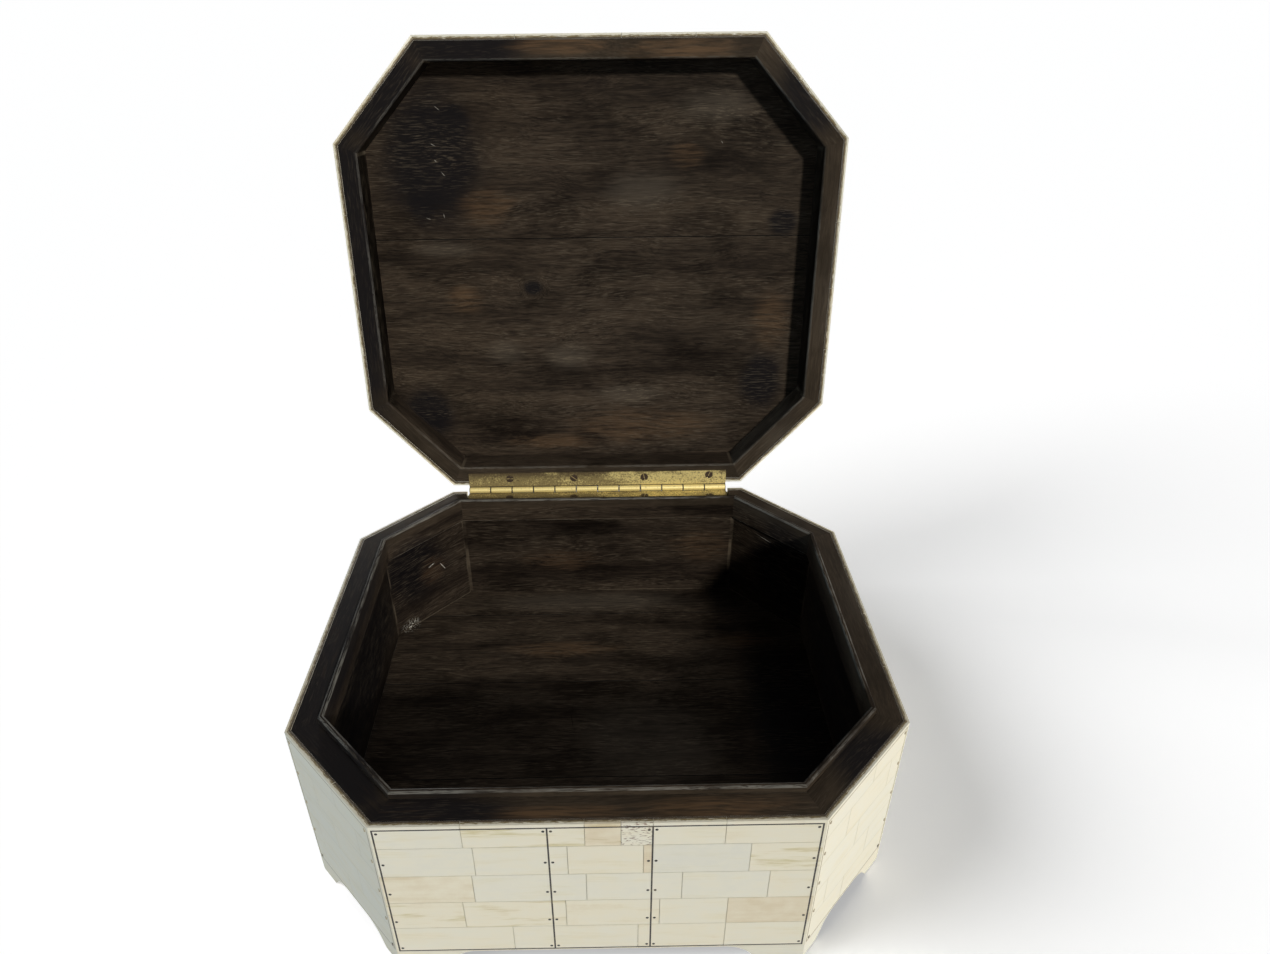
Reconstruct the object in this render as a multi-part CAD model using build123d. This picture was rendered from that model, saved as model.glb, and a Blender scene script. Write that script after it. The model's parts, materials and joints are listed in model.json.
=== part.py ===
from build123d import *
import math
import os

# Eight-sided dowry chest on bracket feet, clad in bone tiles, with a lid on a piano hinge.
# Millimetres. +Z is up, the front faces -Y, and the floor is at Z = 0. The lid stands open.

# ---- Plan, over the bone ----
BODY_WIDTH = 380.0  # left to right
BODY_DEPTH = 346.0  # front to back
CORNER_RUN_X = 65.0  # a cut corner's run along the front or the back
CORNER_RUN_Y = 70.0  # its run along a side

# ---- Box ----
FOOT_HEIGHT = 14.5
WALL = 15.5  # thickness of the wall boards
WALL_HEIGHT = 118.5  # from their lower edge up to the rim
FLOOR = 12.0  # thickness of the floor planks
FLOOR_DEPTH = 95.0  # from the rim down to the top of the floor
FLOOR_JOINTS = (-60.0, 36.0, 120.0)  # joints between the planks, from the middle towards the back
LIP = 3.5  # thickness of the strips that line the rim
LIP_RISE = 4.8  # how far they stand above the rim
LIP_DROP = 16.0  # how far they reach below it
LIP_ROUND = 1.3  # rounding of their upper edges

# ---- Feet ----
LONG_REACH = 48.0  # a bracket's length along a long face
LONG_TOE = 28.0  # how much of it stands on the floor
CORNER_REACH = 35.0  # the same along a cut corner
CORNER_TOE = 16.0
TOE_STEP = 5.0  # height of the small step at the end of the toe
TOE_STEP_RUN = 3.5
ARCH_SWELL = 2.4  # how far the curve after the step stands off its chord
FACING_LIFT = 0.4  # the bone on a foot stops this far above the floor

# ---- Bone cladding and its inlay ----
BONE = 3.5  # thickness of every tile
COURSE = 24.9  # height of a full course
TILE_LENGTH = 52.0  # typical tile
TILE_WANDER = 0.17  # how far a joint strays, as a share of the tile
TILE_JOINT = 0.2
LINE = 1.0  # width of the black lines
INLAY_DEPTH = 1.2  # depth of the lines and dots
LINE_FROM_TOP = 3.0  # from an edge of the cladding, or a rebate in it, to the middle of a line
LINE_FROM_BOTTOM = 1.5
LINE_FROM_CORNER = 1.9
MIDDLE_PANEL = 58.0  # width between the two upright lines of a long face
MIDDLE_PANEL_SHIFT = 1.0  # on the front, back and lid it sits a touch right of the middle
DOT_RADIUS = 0.9
DOT_PITCH = 27.0  # distance between dots in a column, about
DOT_FROM_LINE = 2.1  # from a dot's middle to the line beside it
DOT_FROM_END = 2.8  # from the last dot to the line that it stops short of
DOT_SEAT = 0.02  # clearance round a dot

# ---- Lid ----
RIM_GAP = 1.1  # between the rims of the shut chest
LID_OPEN = 97.0  # degrees from closed to where it rests
LID_WALL = 13.2  # thickness of the rim boards
LID_HOLLOW = 27.5  # depth of the lid inside
LID_PANEL = 12.0  # thickness of the planks
LID_PANEL_JOINT = -30.0  # where the two planks meet, from the middle towards the back
LID_ROUND = 1.5  # rounding of the rim's inner edge

# ---- Hinge ----
HINGE_LENGTH = 223.0
KNUCKLES = 12
KNUCKLE_GAP = 0.25  # end play between two knuckles
BARREL_RADIUS = 2.5
BARREL_OFF_BONE = 1.3  # the barrel stands this far behind the bone
LEAF = 1.05  # thickness of a leaf
LEAF_REACH = 15.0  # from the pin's axis to a leaf's far edge
REBATE_PLAY = 1.2  # round the leaf that is let into the box
LEAF_RELIEF = 0.3  # from a leaf's hollowed edge to the other leaf's knuckles
PIN_RADIUS = 1.2
PIN_CLEARANCE = 0.05
# Where each screw stands: its place along the hinge from the middle, and its distance from the pin's
# axis, as shares of the hinge's length and of the leaf's reach.
SCREWS = ((-0.341, 0.65), (-0.092, 0.65), (0.182, 0.65), (0.434, 0.74))
SCREW_HEAD_RADIUS = 3.3
SCREW_SHANK_RADIUS = 1.4
SCREW_LENGTH = 11.0
SCREW_SLOT = 0.8
SCREW_SLOT_DEPTH = 0.6
SCREW_TURN = 38.0  # each slot is turned this much further than the last
SCREW_CLEARANCE = 0.05

# ---- Heights and lines that follow from them ----
BODY_BOTTOM = FOOT_HEIGHT
RIM = BODY_BOTTOM + WALL_HEIGHT
FLOOR_TOP = RIM - FLOOR_DEPTH
LID_RIM = RIM + RIM_GAP
HINGE_Y = BODY_DEPTH / 2 + BARREL_OFF_BONE + BARREL_RADIUS
HINGE_Z = LID_RIM - BARREL_RADIUS  # the lid leaf lies on the lid's rim
BOX_LEAF_Z = HINGE_Z - BARREL_RADIUS  # the box leaf is let in, so that the rims can meet
LID_EDGE_HEIGHT = LID_HOLLOW + LID_PANEL
LID_TOP = LID_RIM + LID_EDGE_HEIGHT + BONE
INNER_FACE = BONE + WALL  # inset of the box's inner wall face
REACH_OVER = WALL + BONE  # more than any bracket is thick

SIDES = (
    "front", "front_right", "right", "back_right", "back", "back_left", "left", "front_left",
)
LONG_SIDES = ("front", "right", "back", "left")
CORNERS = (
    "front_left", "front_right", "right_front", "right_back",
    "back_right", "back_left", "left_back", "left_front",
)
# Joints between the front tiles, as shares of the face, from the lowest course up.
FRONT_JOINTS = (
    (0.29, 0.59, 0.80),
    (0.18, 0.42, 0.64, 0.80),
    (0.21, 0.47, 0.69, 0.89),
    (0.22, 0.43, 0.60, 0.62, 0.84),
    (0.20, 0.47, 0.55, 0.62, 0.78),
)


# ---- Plan geometry ----
def octagon(inset):
    """The eight corners of the plan, moved in from the bone's face, from the front left round."""
    half_x, half_y = BODY_WIDTH / 2, BODY_DEPTH / 2
    front_x, side_y = half_x - CORNER_RUN_X, half_y - CORNER_RUN_Y
    outer = [
        (-front_x, -half_y), (front_x, -half_y), (half_x, -side_y), (half_x, side_y),
        (front_x, half_y), (-front_x, half_y), (-half_x, side_y), (-half_x, -side_y),
    ]
    lines = []
    for (ax, ay), (bx, by) in zip(outer, outer[1:] + outer[:1]):
        length = math.hypot(bx - ax, by - ay)
        nx, ny = (by - ay) / length, (ax - bx) / length
        lines.append((nx, ny, nx * ax + ny * ay - inset))
    corners = []
    for k in range(8):
        (a, b, c), (d, e, f) = lines[k - 1], lines[k]
        det = a * e - b * d
        corners.append(((c * e - b * f) / det, (a * f - c * d) / det))
    return corners


class Face:
    """One upright face of the octagon: u runs along it, depth goes inward from the bone."""

    def __init__(self, index):
        self.index = index
        self.name = SIDES[index]
        corners = octagon(0)
        self.start, self.end = corners[index], corners[(index + 1) % 8]
        dx, dy = self.end[0] - self.start[0], self.end[1] - self.start[1]
        self.length = math.hypot(dx, dy)
        self.along = (dx / self.length, dy / self.length)
        self.out = (self.along[1], -self.along[0])

    def point(self, u, depth=0.0):
        """The plan point at u along the face and depth inward."""
        return (
            self.start[0] + self.along[0] * u - self.out[0] * depth,
            self.start[1] + self.along[1] * u - self.out[1] * depth,
        )

    def mitre(self, depth):
        """The two plan points where this face ends at that depth."""
        corners = octagon(depth)
        return corners[self.index], corners[(self.index + 1) % 8]

    def dividers(self):
        """Where the upright lines stand that split a long face into three panels."""
        if self.name not in LONG_SIDES:
            return []
        middle = self.length / 2 + MIDDLE_PANEL_SHIFT * self.along[0]
        return [middle - MIDDLE_PANEL / 2, middle + MIDDLE_PANEL / 2]


FACES = [Face(k) for k in range(8)]


def prism(points, low, high):
    """An upright prism over plan points, between two heights."""
    outline = make_face(Polyline(*points, close=True))
    return Pos(0, 0, low) * extrude(outline, amount=high - low, dir=(0, 0, 1))


def board(face, near, far, low, high):
    """A board along a face, mitred at both ends, between two depths and two heights."""
    near_start, near_end = face.mitre(near)
    far_start, far_end = face.mitre(far)
    return prism([near_start, near_end, far_end, far_start], low, high)


def along_face(shape, face, height):
    """The edges of a board that run along its face at a height."""
    parallel = shape.edges().filter_by(Axis((0, 0, 0), (*face.along, 0)))
    return parallel.filter_by_position(Axis.Z, height - 0.01, height + 0.01)


def slab(x_low, x_high, y_low, y_high, low, high):
    """A box given by its limits."""
    return prism([(x_low, y_low), (x_high, y_low), (x_high, y_high), (x_low, y_high)], low, high)


def plank(inset, y_low, y_high, low, high):
    """The part of the octagon between two lines across it."""
    whole = prism(octagon(inset), low, high)
    half = BODY_WIDTH / 2
    return whole & slab(-half, half, y_low, y_high, low, high)


def single(shape):
    """The one solid that a boolean leaves."""
    return shape.solids().sort_by(SortBy.VOLUME)[-1]


# ---- Bone tiles and inlay on an upright face ----
def course_levels(height):
    """Heights of the course lines, laid up from the lower edge, the last course cut to fit."""
    count = math.ceil(height / COURSE)
    return [k * COURSE for k in range(count)] + [height]


def wander(course, joint, seed):
    """A fixed but uneven number from -1 to 1 for one joint."""
    return math.sin(12.9 * joint + 7.3 * course + 4.1 * seed)


def tile_joints(length, course, seed):
    """Where the upright joints of a course fall, in brick bond with uneven tiles."""
    count = max(2, round(length / TILE_LENGTH))
    pitch = length / count
    shift = 0.5 * (course % 2)
    places = [(k - shift) * pitch for k in range(1, count + course % 2)]
    return [place + TILE_WANDER * pitch * wander(course, k, seed) for k, place in enumerate(places)]


def face_joints(face, course):
    """The joints of one course of a face; the front's are its own."""
    if face.name == "front" and course < len(FRONT_JOINTS):
        return [share * face.length for share in FRONT_JOINTS[course]]
    return tile_joints(face.length, course, face.index)


def tile(face, u_low, u_high, low, high):
    """One tile; at the end of a face it is mitred to the next face's tile."""
    mitre_near, mitre_far = face.mitre(0), face.mitre(BONE)
    half = TILE_JOINT / 2
    if u_low > 0:
        outer_low, inner_low = face.point(u_low + half), face.point(u_low + half, BONE)
    else:
        outer_low, inner_low = mitre_near[0], mitre_far[0]
    if u_high < face.length:
        outer_high, inner_high = face.point(u_high - half), face.point(u_high - half, BONE)
    else:
        outer_high, inner_high = mitre_near[1], mitre_far[1]
    return prism([outer_low, outer_high, inner_high, inner_low], low, high)


def face_bar(face, u_low, u_high, low, high):
    """A bar let into a face as deep as the inlay."""
    points = [
        face.point(u_low), face.point(u_high),
        face.point(u_high, INLAY_DEPTH), face.point(u_low, INLAY_DEPTH),
    ]
    return prism(points, low, high)


def face_lines(face, low, high):
    """The black frame of a face from low to high, with its upright dividers, as one piece."""
    half = LINE / 2
    left, right = LINE_FROM_CORNER, face.length - LINE_FROM_CORNER
    bottom, top = low + LINE_FROM_BOTTOM, high - LINE_FROM_TOP
    bars = [face_bar(face, u - half, u + half, bottom - half, top + half)
            for u in [left, *face.dividers(), right]]
    bars += [face_bar(face, left - half, right + half, z - half, z + half) for z in (bottom, top)]
    return single(bars[0].fuse(*bars[1:]))


def rows(low, high):
    """Heights of the dots between two lines."""
    span = high - low - 2 * DOT_FROM_END
    gaps = max(1, round(span / DOT_PITCH))
    return [low + DOT_FROM_END + span * k / gaps for k in range(gaps + 1)]


def face_dots(face, low, high, radius):
    """The dots beside the upright lines of a face."""
    left, right = LINE_FROM_CORNER, face.length - LINE_FROM_CORNER
    columns = [left + DOT_FROM_LINE, right - DOT_FROM_LINE]
    for u in face.dividers():
        columns += [u - DOT_FROM_LINE, u + DOT_FROM_LINE]
    dots = []
    for u in columns:
        for z in rows(low + LINE_FROM_BOTTOM, high - LINE_FROM_TOP):
            x, y = face.point(u, INLAY_DEPTH)
            seat = Plane(origin=(x, y, z), z_dir=(*face.out, 0))
            dots.append(seat * extrude(Circle(radius), amount=INLAY_DEPTH))
    return dots


def touches(a, b):
    """Whether two boxes meet, so that a cut is worth making."""
    a, b = a.bounding_box(), b.bounding_box()
    return all(
        low_a < high_b and low_b < high_a
        for low_a, high_a, low_b, high_b in zip(a.min, a.max, b.min, b.max)
    )


def carve(piece, tools):
    """A tile with the grooves and pits that reach it cut out."""
    near = [tool for tool in tools if touches(piece, tool)]
    return single(piece.cut(*near)) if near else single(piece)


def clad(face, low, high, line_high, cuts=()):
    """Tiles, lines and dots of one face from low to high; the lines are laid out below line_high."""
    lines = face_lines(face, low, line_high)
    pits = face_dots(face, low, line_high, DOT_RADIUS + DOT_SEAT)
    levels = course_levels(high - low)
    tiles = []
    for course, (bottom, top) in enumerate(zip(levels, levels[1:])):
        z_low = low + bottom + (TILE_JOINT / 2 if course else 0)
        z_high = low + top - (TILE_JOINT / 2 if top < high - low else 0)
        stops = [0, *face_joints(face, course), face.length]
        for u_low, u_high in zip(stops, stops[1:]):
            tiles.append(carve(tile(face, u_low, u_high, z_low, z_high), [lines, *pits, *cuts]))
    return tiles, lines, face_dots(face, low, line_high, DOT_RADIUS)


# ---- Box ----
def wall_board(face):
    """One wall board of the box."""
    return board(face, BONE, INNER_FACE, BODY_BOTTOM, RIM)


def floor_planks():
    """The floor planks, let in between the walls."""
    edge = BODY_DEPTH / 2
    stops = [-edge, *FLOOR_JOINTS, edge]
    return [
        plank(INNER_FACE, low, high, FLOOR_TOP - FLOOR, FLOOR_TOP)
        for low, high in zip(stops, stops[1:])
    ]


def lip_strip(face):
    """One strip of the proud lining of the rim, its upper edges rounded."""
    top = RIM + LIP_RISE
    strip = board(face, INNER_FACE, INNER_FACE + LIP, RIM - LIP_DROP, top)
    return fillet(along_face(strip, face, top), min(LIP_ROUND, 0.45 * LIP))


def bracket(face, at_start, near, far, low):
    """Half a bracket foot along one face: toe, small step, then a curve up to the wall."""
    long_face = face.name in LONG_SIDES
    reach = LONG_REACH if long_face else CORNER_REACH
    toe = LONG_TOE if long_face else CORNER_TOE
    step = (toe + TOE_STEP_RUN, TOE_STEP)
    end = (reach, FOOT_HEIGHT)
    chord = math.hypot(end[0] - step[0], end[1] - step[1])
    middle = (
        (step[0] + end[0]) / 2 - ARCH_SWELL * (end[1] - step[1]) / chord,
        (step[1] + end[1]) / 2 + ARCH_SWELL * (end[0] - step[0]) / chord,
    )
    outline = (
        Polyline((0, FOOT_HEIGHT), (0, low), (toe, low), step)
        + ThreePointArc(step, middle, end)
        + Line(end, (0, FOOT_HEIGHT))
    )
    corner = face.start if at_start else face.end
    sense = 1 if at_start else -1
    x_dir = (sense * face.along[0], sense * face.along[1], 0)
    z_dir = (sense * face.out[0], sense * face.out[1], 0)
    upright = Plane(origin=(*corner, 0), x_dir=x_dir, z_dir=z_dir)
    cut_out = extrude(upright * make_face(outline), amount=REACH_OVER * 2, both=True)
    return single(cut_out & board(face, near, far, low, FOOT_HEIGHT))


def foot(corner):
    """The two mitred bracket boards that meet at one corner."""
    before, after = FACES[corner - 1], FACES[corner]
    return [bracket(before, False, BONE, INNER_FACE, 0), bracket(after, True, BONE, INNER_FACE, 0)]


def foot_facings():
    """Bone on the outside of every bracket."""
    return [
        bracket(face, at_start, 0, BONE, FACING_LIFT) for face in FACES for at_start in (True, False)
    ]


# ---- Lid, modelled shut ----
def lid_board(face):
    """One board of the lid's rim, with the inner edge of the rim rounded."""
    inner = BONE + LID_WALL
    rim_board = board(face, BONE, inner, LID_RIM, LID_RIM + LID_HOLLOW)
    middle = face.point(face.length / 2, inner)
    edge = along_face(rim_board, face, LID_RIM).sort_by_distance((*middle, LID_RIM))[0]
    return fillet(edge, min(LID_ROUND, 0.45 * LID_WALL))


def lid_planks():
    """The two planks that close the lid."""
    edge = BODY_DEPTH / 2
    low, high = LID_RIM + LID_HOLLOW, LID_RIM + LID_EDGE_HEIGHT
    return [plank(BONE, -edge, LID_PANEL_JOINT, low, high), plank(BONE, LID_PANEL_JOINT, edge, low, high)]


def top_dividers():
    """Where the two lines across the lid's top stand."""
    return [MIDDLE_PANEL_SHIFT - MIDDLE_PANEL / 2, MIDDLE_PANEL_SHIFT + MIDDLE_PANEL / 2]


def top_lines():
    """The black frame of the lid's top and the two lines across it, as one piece."""
    half = LINE / 2
    low = LID_TOP - INLAY_DEPTH
    outer = prism(octagon(LINE_FROM_TOP - half), low, LID_TOP)
    inner = prism(octagon(LINE_FROM_TOP + half), low, LID_TOP)
    frame = outer - inner
    reach = BODY_DEPTH / 2 - LINE_FROM_TOP
    bars = [slab(x - half, x + half, -reach, reach, low, LID_TOP) for x in top_dividers()]
    return single(frame.fuse(*bars))


def top_dots(radius):
    """The dots beside the lines of the lid's top that run front to back."""
    reach = BODY_DEPTH / 2 - LINE_FROM_TOP
    side_reach = reach - CORNER_RUN_Y
    side_x = BODY_WIDTH / 2 - LINE_FROM_TOP - DOT_FROM_LINE
    columns = [(-side_x, side_reach), (side_x, side_reach)]
    for x in top_dividers():
        columns += [(x - DOT_FROM_LINE, reach), (x + DOT_FROM_LINE, reach)]
    peg = Pos(0, 0, LID_TOP - INLAY_DEPTH) * extrude(Circle(radius), amount=INLAY_DEPTH)
    return [Pos(x, y, 0) * peg for x, half in columns for y in rows(-half, half)]


def top_tiles():
    """The tiles of the lid's top, in courses that run left to right."""
    tools = [top_lines(), *top_dots(DOT_RADIUS + DOT_SEAT)]
    low = LID_TOP - BONE
    half_depth, half_width, half_joint = BODY_DEPTH / 2, BODY_WIDTH / 2, TILE_JOINT / 2
    levels = course_levels(BODY_DEPTH)
    tiles = []
    for course, (near, far) in enumerate(zip(levels, levels[1:])):
        y_low = near - half_depth + (half_joint if course else 0)
        y_high = far - half_depth - (half_joint if far < BODY_DEPTH else 0)
        strip = plank(0, y_low, y_high, low, LID_TOP)
        box = strip.bounding_box()
        width = box.max.X - box.min.X
        joints = [box.min.X + u for u in tile_joints(width, course, course)]
        x_lows = [-half_width, *(x + half_joint for x in joints)]
        x_highs = [*(x - half_joint for x in joints), half_width]
        for x_low, x_high in zip(x_lows, x_highs):
            cell = slab(x_low, x_high, y_low, y_high, low, LID_TOP)
            tiles.append(carve(strip & cell, tools))
    return tiles


# ---- Hinge, modelled shut ----
def rebate():
    """What is cut out of the box's rim at the back for the shut hinge."""
    end = HINGE_LENGTH / 2 + REBATE_PLAY
    inner = HINGE_Y - LEAF_REACH - REBATE_PLAY
    return slab(-end, end, inner, HINGE_Y, BOX_LEAF_Z, LID_RIM)


def screw(extra, turn):
    """A countersunk screw with its head's face at Z = 0, pointing down; extra widens it for its hole."""
    head, shank = SCREW_HEAD_RADIUS + extra, SCREW_SHANK_RADIUS + extra
    sink = head - shank
    profile = Polyline((0, 0), (head, 0), (shank, -sink), (shank, -SCREW_LENGTH - extra),
                       (0, -SCREW_LENGTH - extra), close=True)
    body = revolve(Plane.XZ * make_face(profile), Axis.Z)
    if not extra:
        slot = Box(2 * head, SCREW_SLOT, 2 * SCREW_SLOT_DEPTH)
        body = body - Rot(0, 0, turn) * slot
    return body


def box_screws(extra):
    """The screws of the box leaf, or their holes."""
    return [
        Pos(along * HINGE_LENGTH, HINGE_Y - away * LEAF_REACH, BOX_LEAF_Z + LEAF)
        * screw(extra, SCREW_TURN * k)
        for k, (along, away) in enumerate(SCREWS)
    ]


def lid_screws(extra):
    """The screws of the lid leaf, or their holes: the box leaf's, mirrored in the hinge's plane."""
    flip = Plane(origin=(0, 0, HINGE_Z), z_dir=(0, 0, 1))
    return [mirror(one, about=flip) for one in box_screws(extra)]


def leaf(low, first, screws):
    """A leaf at a height, with every second knuckle from the first, bored and countersunk."""
    half = HINGE_LENGTH / 2
    pitch = HINGE_LENGTH / KNUCKLES
    play = KNUCKLE_GAP / 2
    starts = [-half + k * pitch for k in range(KNUCKLES)]
    own, other = starts[first::2], starts[1 - first::2]
    plate = slab(-half, half, HINGE_Y - LEAF_REACH, HINGE_Y, low, low + LEAF)
    hollows = [rod(x - play, x + pitch + play, BARREL_RADIUS + LEAF_RELIEF) for x in other]
    knuckles = [rod(x + play, x + pitch - play, BARREL_RADIUS) for x in own]
    bore = rod(-half - BARREL_RADIUS, half + BARREL_RADIUS, PIN_RADIUS + PIN_CLEARANCE)
    return single(plate.cut(*hollows).fuse(*knuckles).cut(bore, *screws))


def rod(x_low, x_high, radius):
    """A rod on the hinge's axis."""
    start = Plane(origin=(x_low, HINGE_Y, HINGE_Z), z_dir=(1, 0, 0))
    return start * extrude(Circle(radius), amount=x_high - x_low)


# ---- Where the lid and the origin go ----
def opened(y, z):
    """Where a point of the shut lid's section lies once the lid stands open."""
    turn = math.radians(LID_OPEN)
    dy, dz = y - HINGE_Y, z - HINGE_Z
    return (
        HINGE_Y + dy * math.cos(turn) + dz * math.sin(turn),
        HINGE_Z - dy * math.sin(turn) + dz * math.cos(turn),
    )


def origin_y():
    """The middle, front to back, of the chest with its lid open."""
    half = BODY_DEPTH / 2
    lid_corners = [opened(y, z) for y in (-half, half) for z in (LID_RIM, LID_TOP)]
    back = max(y for y, z in lid_corners)
    return (back - half) / 2


def main():
    box, lid = {}, {}

    for face in FACES:
        box[f"wall_{face.name}"] = wall_board(face)
        box[f"lip_{face.name}"] = lip_strip(face)
        lid[f"lid_rim_{face.name}"] = lid_board(face)
    hollow = rebate()
    box["wall_back"] = single(box["wall_back"].cut(hollow, *box_screws(SCREW_CLEARANCE)))
    lid["lid_rim_back"] = single(lid["lid_rim_back"].cut(*lid_screws(SCREW_CLEARANCE)))

    for k, one in enumerate(floor_planks(), start=1):
        box[f"floor_plank_{k}"] = one
    for k, one in enumerate(lid_planks(), start=1):
        lid[f"lid_plank_{k}"] = one

    box_lines, box_dots, lid_tiles, lid_lines, lid_dots = [], [], [], [top_lines()], top_dots(DOT_RADIUS)
    for face in FACES:
        line_high = BOX_LEAF_Z if face.name == "back" else RIM
        tiles, lines, dots = clad(face, BODY_BOTTOM, RIM, line_high, [hollow])
        box[f"bone_{face.name}"] = tiles
        box_lines.append(lines)
        box_dots += dots
        lid_edge = LID_RIM + LID_EDGE_HEIGHT
        tiles, lines, dots = clad(face, LID_RIM, lid_edge, lid_edge)
        lid_tiles += tiles
        lid_lines.append(lines)
        lid_dots += dots
    box["inlay_lines"] = box_lines
    box["inlay_dots"] = box_dots
    lid["lid_bone_edges"] = lid_tiles
    lid["lid_bone_top"] = top_tiles()
    lid["lid_inlay_lines"] = lid_lines
    lid["lid_inlay_dots"] = lid_dots

    for k, name in enumerate(CORNERS):
        box[f"foot_{name}"] = foot(k)
    box["foot_bone"] = foot_facings()

    box["hinge_box_leaf"] = leaf(BOX_LEAF_Z, 1, box_screws(SCREW_CLEARANCE))
    box["hinge_pin"] = rod(-HINGE_LENGTH / 2, HINGE_LENGTH / 2, PIN_RADIUS)
    box["hinge_box_screws"] = box_screws(0)
    lid["hinge_lid_leaf"] = leaf(LID_RIM - LEAF, 0, lid_screws(SCREW_CLEARANCE))
    lid["hinge_lid_screws"] = lid_screws(0)

    hinge_axis = Axis((0, HINGE_Y, HINGE_Z), (1, 0, 0))
    shift = Pos(0, -origin_y(), 0)
    os.makedirs("parts", exist_ok=True)
    for name, shape in [*box.items(), *lid.items()]:
        pieces = shape if isinstance(shape, list) else [shape]
        solids = [solid for piece in pieces for solid in piece.solids()]
        if name in lid:
            solids = [solid.rotate(hinge_axis, -LID_OPEN) for solid in solids]
        solids = [shift * solid for solid in solids]
        whole = solids[0] if len(solids) == 1 else Compound(children=solids)
        whole.label = name
        export_step(whole, f"parts/{name}.step")
    print(len(box) + len(lid), "nodes, origin", round(origin_y(), 3), "mm behind the box's middle")


main()
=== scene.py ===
"""Dresses the eight-sided dowry chest: stained wood, bone tiles, black inlay, aged brass."""

import json
import math
import random

import bmesh
import bpy
from bpy.props import FloatProperty, FloatVectorProperty, IntProperty, PointerProperty
from mathutils import Matrix, Vector


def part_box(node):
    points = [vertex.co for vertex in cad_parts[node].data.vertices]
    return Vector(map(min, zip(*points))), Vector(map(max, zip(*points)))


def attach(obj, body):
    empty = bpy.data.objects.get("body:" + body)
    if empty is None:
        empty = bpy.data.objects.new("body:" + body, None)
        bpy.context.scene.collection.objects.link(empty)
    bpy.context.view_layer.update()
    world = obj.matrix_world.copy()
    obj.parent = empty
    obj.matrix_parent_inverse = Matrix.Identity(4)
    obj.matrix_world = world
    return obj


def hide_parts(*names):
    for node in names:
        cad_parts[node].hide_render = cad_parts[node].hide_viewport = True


bl_info = {
    "name": "Bone-clad dowry chest",
    "version": (1, 0, 0),
    "blender": (4, 5, 0),
    "location": "3D View > Sidebar > Chest",
    "description": "Finishes the solids of a bone-clad dowry chest",
    "category": "Object",
}

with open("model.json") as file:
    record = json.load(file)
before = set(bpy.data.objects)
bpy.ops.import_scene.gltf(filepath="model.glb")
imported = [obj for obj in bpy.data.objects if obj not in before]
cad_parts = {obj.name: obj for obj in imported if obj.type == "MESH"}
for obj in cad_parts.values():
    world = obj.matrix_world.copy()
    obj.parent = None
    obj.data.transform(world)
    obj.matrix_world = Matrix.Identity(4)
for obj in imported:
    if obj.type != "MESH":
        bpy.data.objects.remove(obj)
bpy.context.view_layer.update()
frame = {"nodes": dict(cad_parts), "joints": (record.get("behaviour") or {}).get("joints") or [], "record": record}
NODES = frame["nodes"]
BODIES = frame["record"]["behaviour"]["bodies"]

MM = 0.001
CM = 0.01
MERGE = 1e-6  # vertices nearer than this are one
FLAT = math.radians(0.4)  # faces that meet flatter than this are one
CREASE = math.radians(28)  # edges sharper than this are rounded over
WITHIN = 0.05 * MM  # how far under a face a point is taken to see whose side it is on
SHORT = 0.8 * MM  # an edge shorter than this belongs to a curve and stays as it is
LEVEL = 0.9  # a face whose direction is this much up or down lies level
THIN = 0.35 * MM  # a face narrower than this is a facet of a rounded edge
SLANT = 0.1  # a face that leans this far both along and out of its side is a mitre
LOW = 0.9  # a round island this much lower than it is wide faces up
SPOT_CORE = 0.15  # share of a spot's reach within which it is full

# ---- The lid's turn ----
LID_HINGE = frame["joints"][0]
HINGE_AT = Vector(LID_HINGE["pos_m"])
LID_TURN = math.radians(LID_HINGE["range_deg"][1])
TO_SHUT = (
    Matrix.Translation(HINGE_AT) @ Matrix.Rotation(LID_TURN, 4, "X") @ Matrix.Translation(-HINGE_AT)
)

SIDES = (
    "front", "front_right", "right", "back_right", "back", "back_left", "left", "front_left",
)


def body_of(node):
    """The body that a node belongs to."""
    return next(body for body, members in BODIES.items() if node in members)


def shut_matrix(node):
    """Turns a node's place at rest into its place on the shut chest."""
    return TO_SHUT if body_of(node) == "lid" else Matrix.Identity(4)


def side_planes():
    """The middle of the box, and for each side its outward direction and how far out it lies."""
    low_x, high_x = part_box("bone_left")[0].x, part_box("bone_right")[1].x
    low_y, high_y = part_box("bone_front")[0].y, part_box("bone_back")[1].y
    middle = Vector(((low_x + high_x) / 2, (low_y + high_y) / 2, 0))
    planes = {}
    for name, quarter in (("front", -90), ("right", 0), ("back", 90), ("left", 180)):
        turn = math.radians(quarter)
        out = Vector((math.cos(turn), math.sin(turn), 0))
        reach = (high_x - low_x) / 2 if name in ("left", "right") else (high_y - low_y) / 2
        planes[name] = (out, reach)
    for name in ("front_right", "back_right", "back_left", "front_left"):
        low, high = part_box(f"bone_{name}")
        sign_x = 1 if "right" in name else -1
        sign_y = 1 if "back" in name else -1
        run = Vector((high.x - low.x, high.y - low.y, 0)).normalized()
        out = Vector((sign_x * run.y, sign_y * run.x, 0))
        corner = Vector((high.x if sign_x > 0 else low.x, low.y if sign_y > 0 else high.y, 0))
        planes[name] = (out, (corner - middle).dot(out))
    return middle, planes


MIDDLE, PLANES = side_planes()
RIM_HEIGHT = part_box("wall_front")[1].z


def run_of(side):
    """The direction that runs along a side, to the right as seen from outside."""
    out = PLANES[side][0]
    return Vector((-out.y, out.x, 0))


def side_at(point):
    """The side whose face a point of the shut chest lies nearest to."""
    return max(SIDES, key=lambda side: (point - MIDDLE).dot(PLANES[side][0]) - PLANES[side][1])


def face_side(face, to_shut):
    """The side that a face belongs to, seen from just under it."""
    return side_at(to_shut @ (face.calc_center_median() - face.normal * WITHIN))


def reach_of(points):
    """The low and the high corner of the box round some points."""
    return Vector(map(min, *points)), Vector(map(max, *points))


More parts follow.
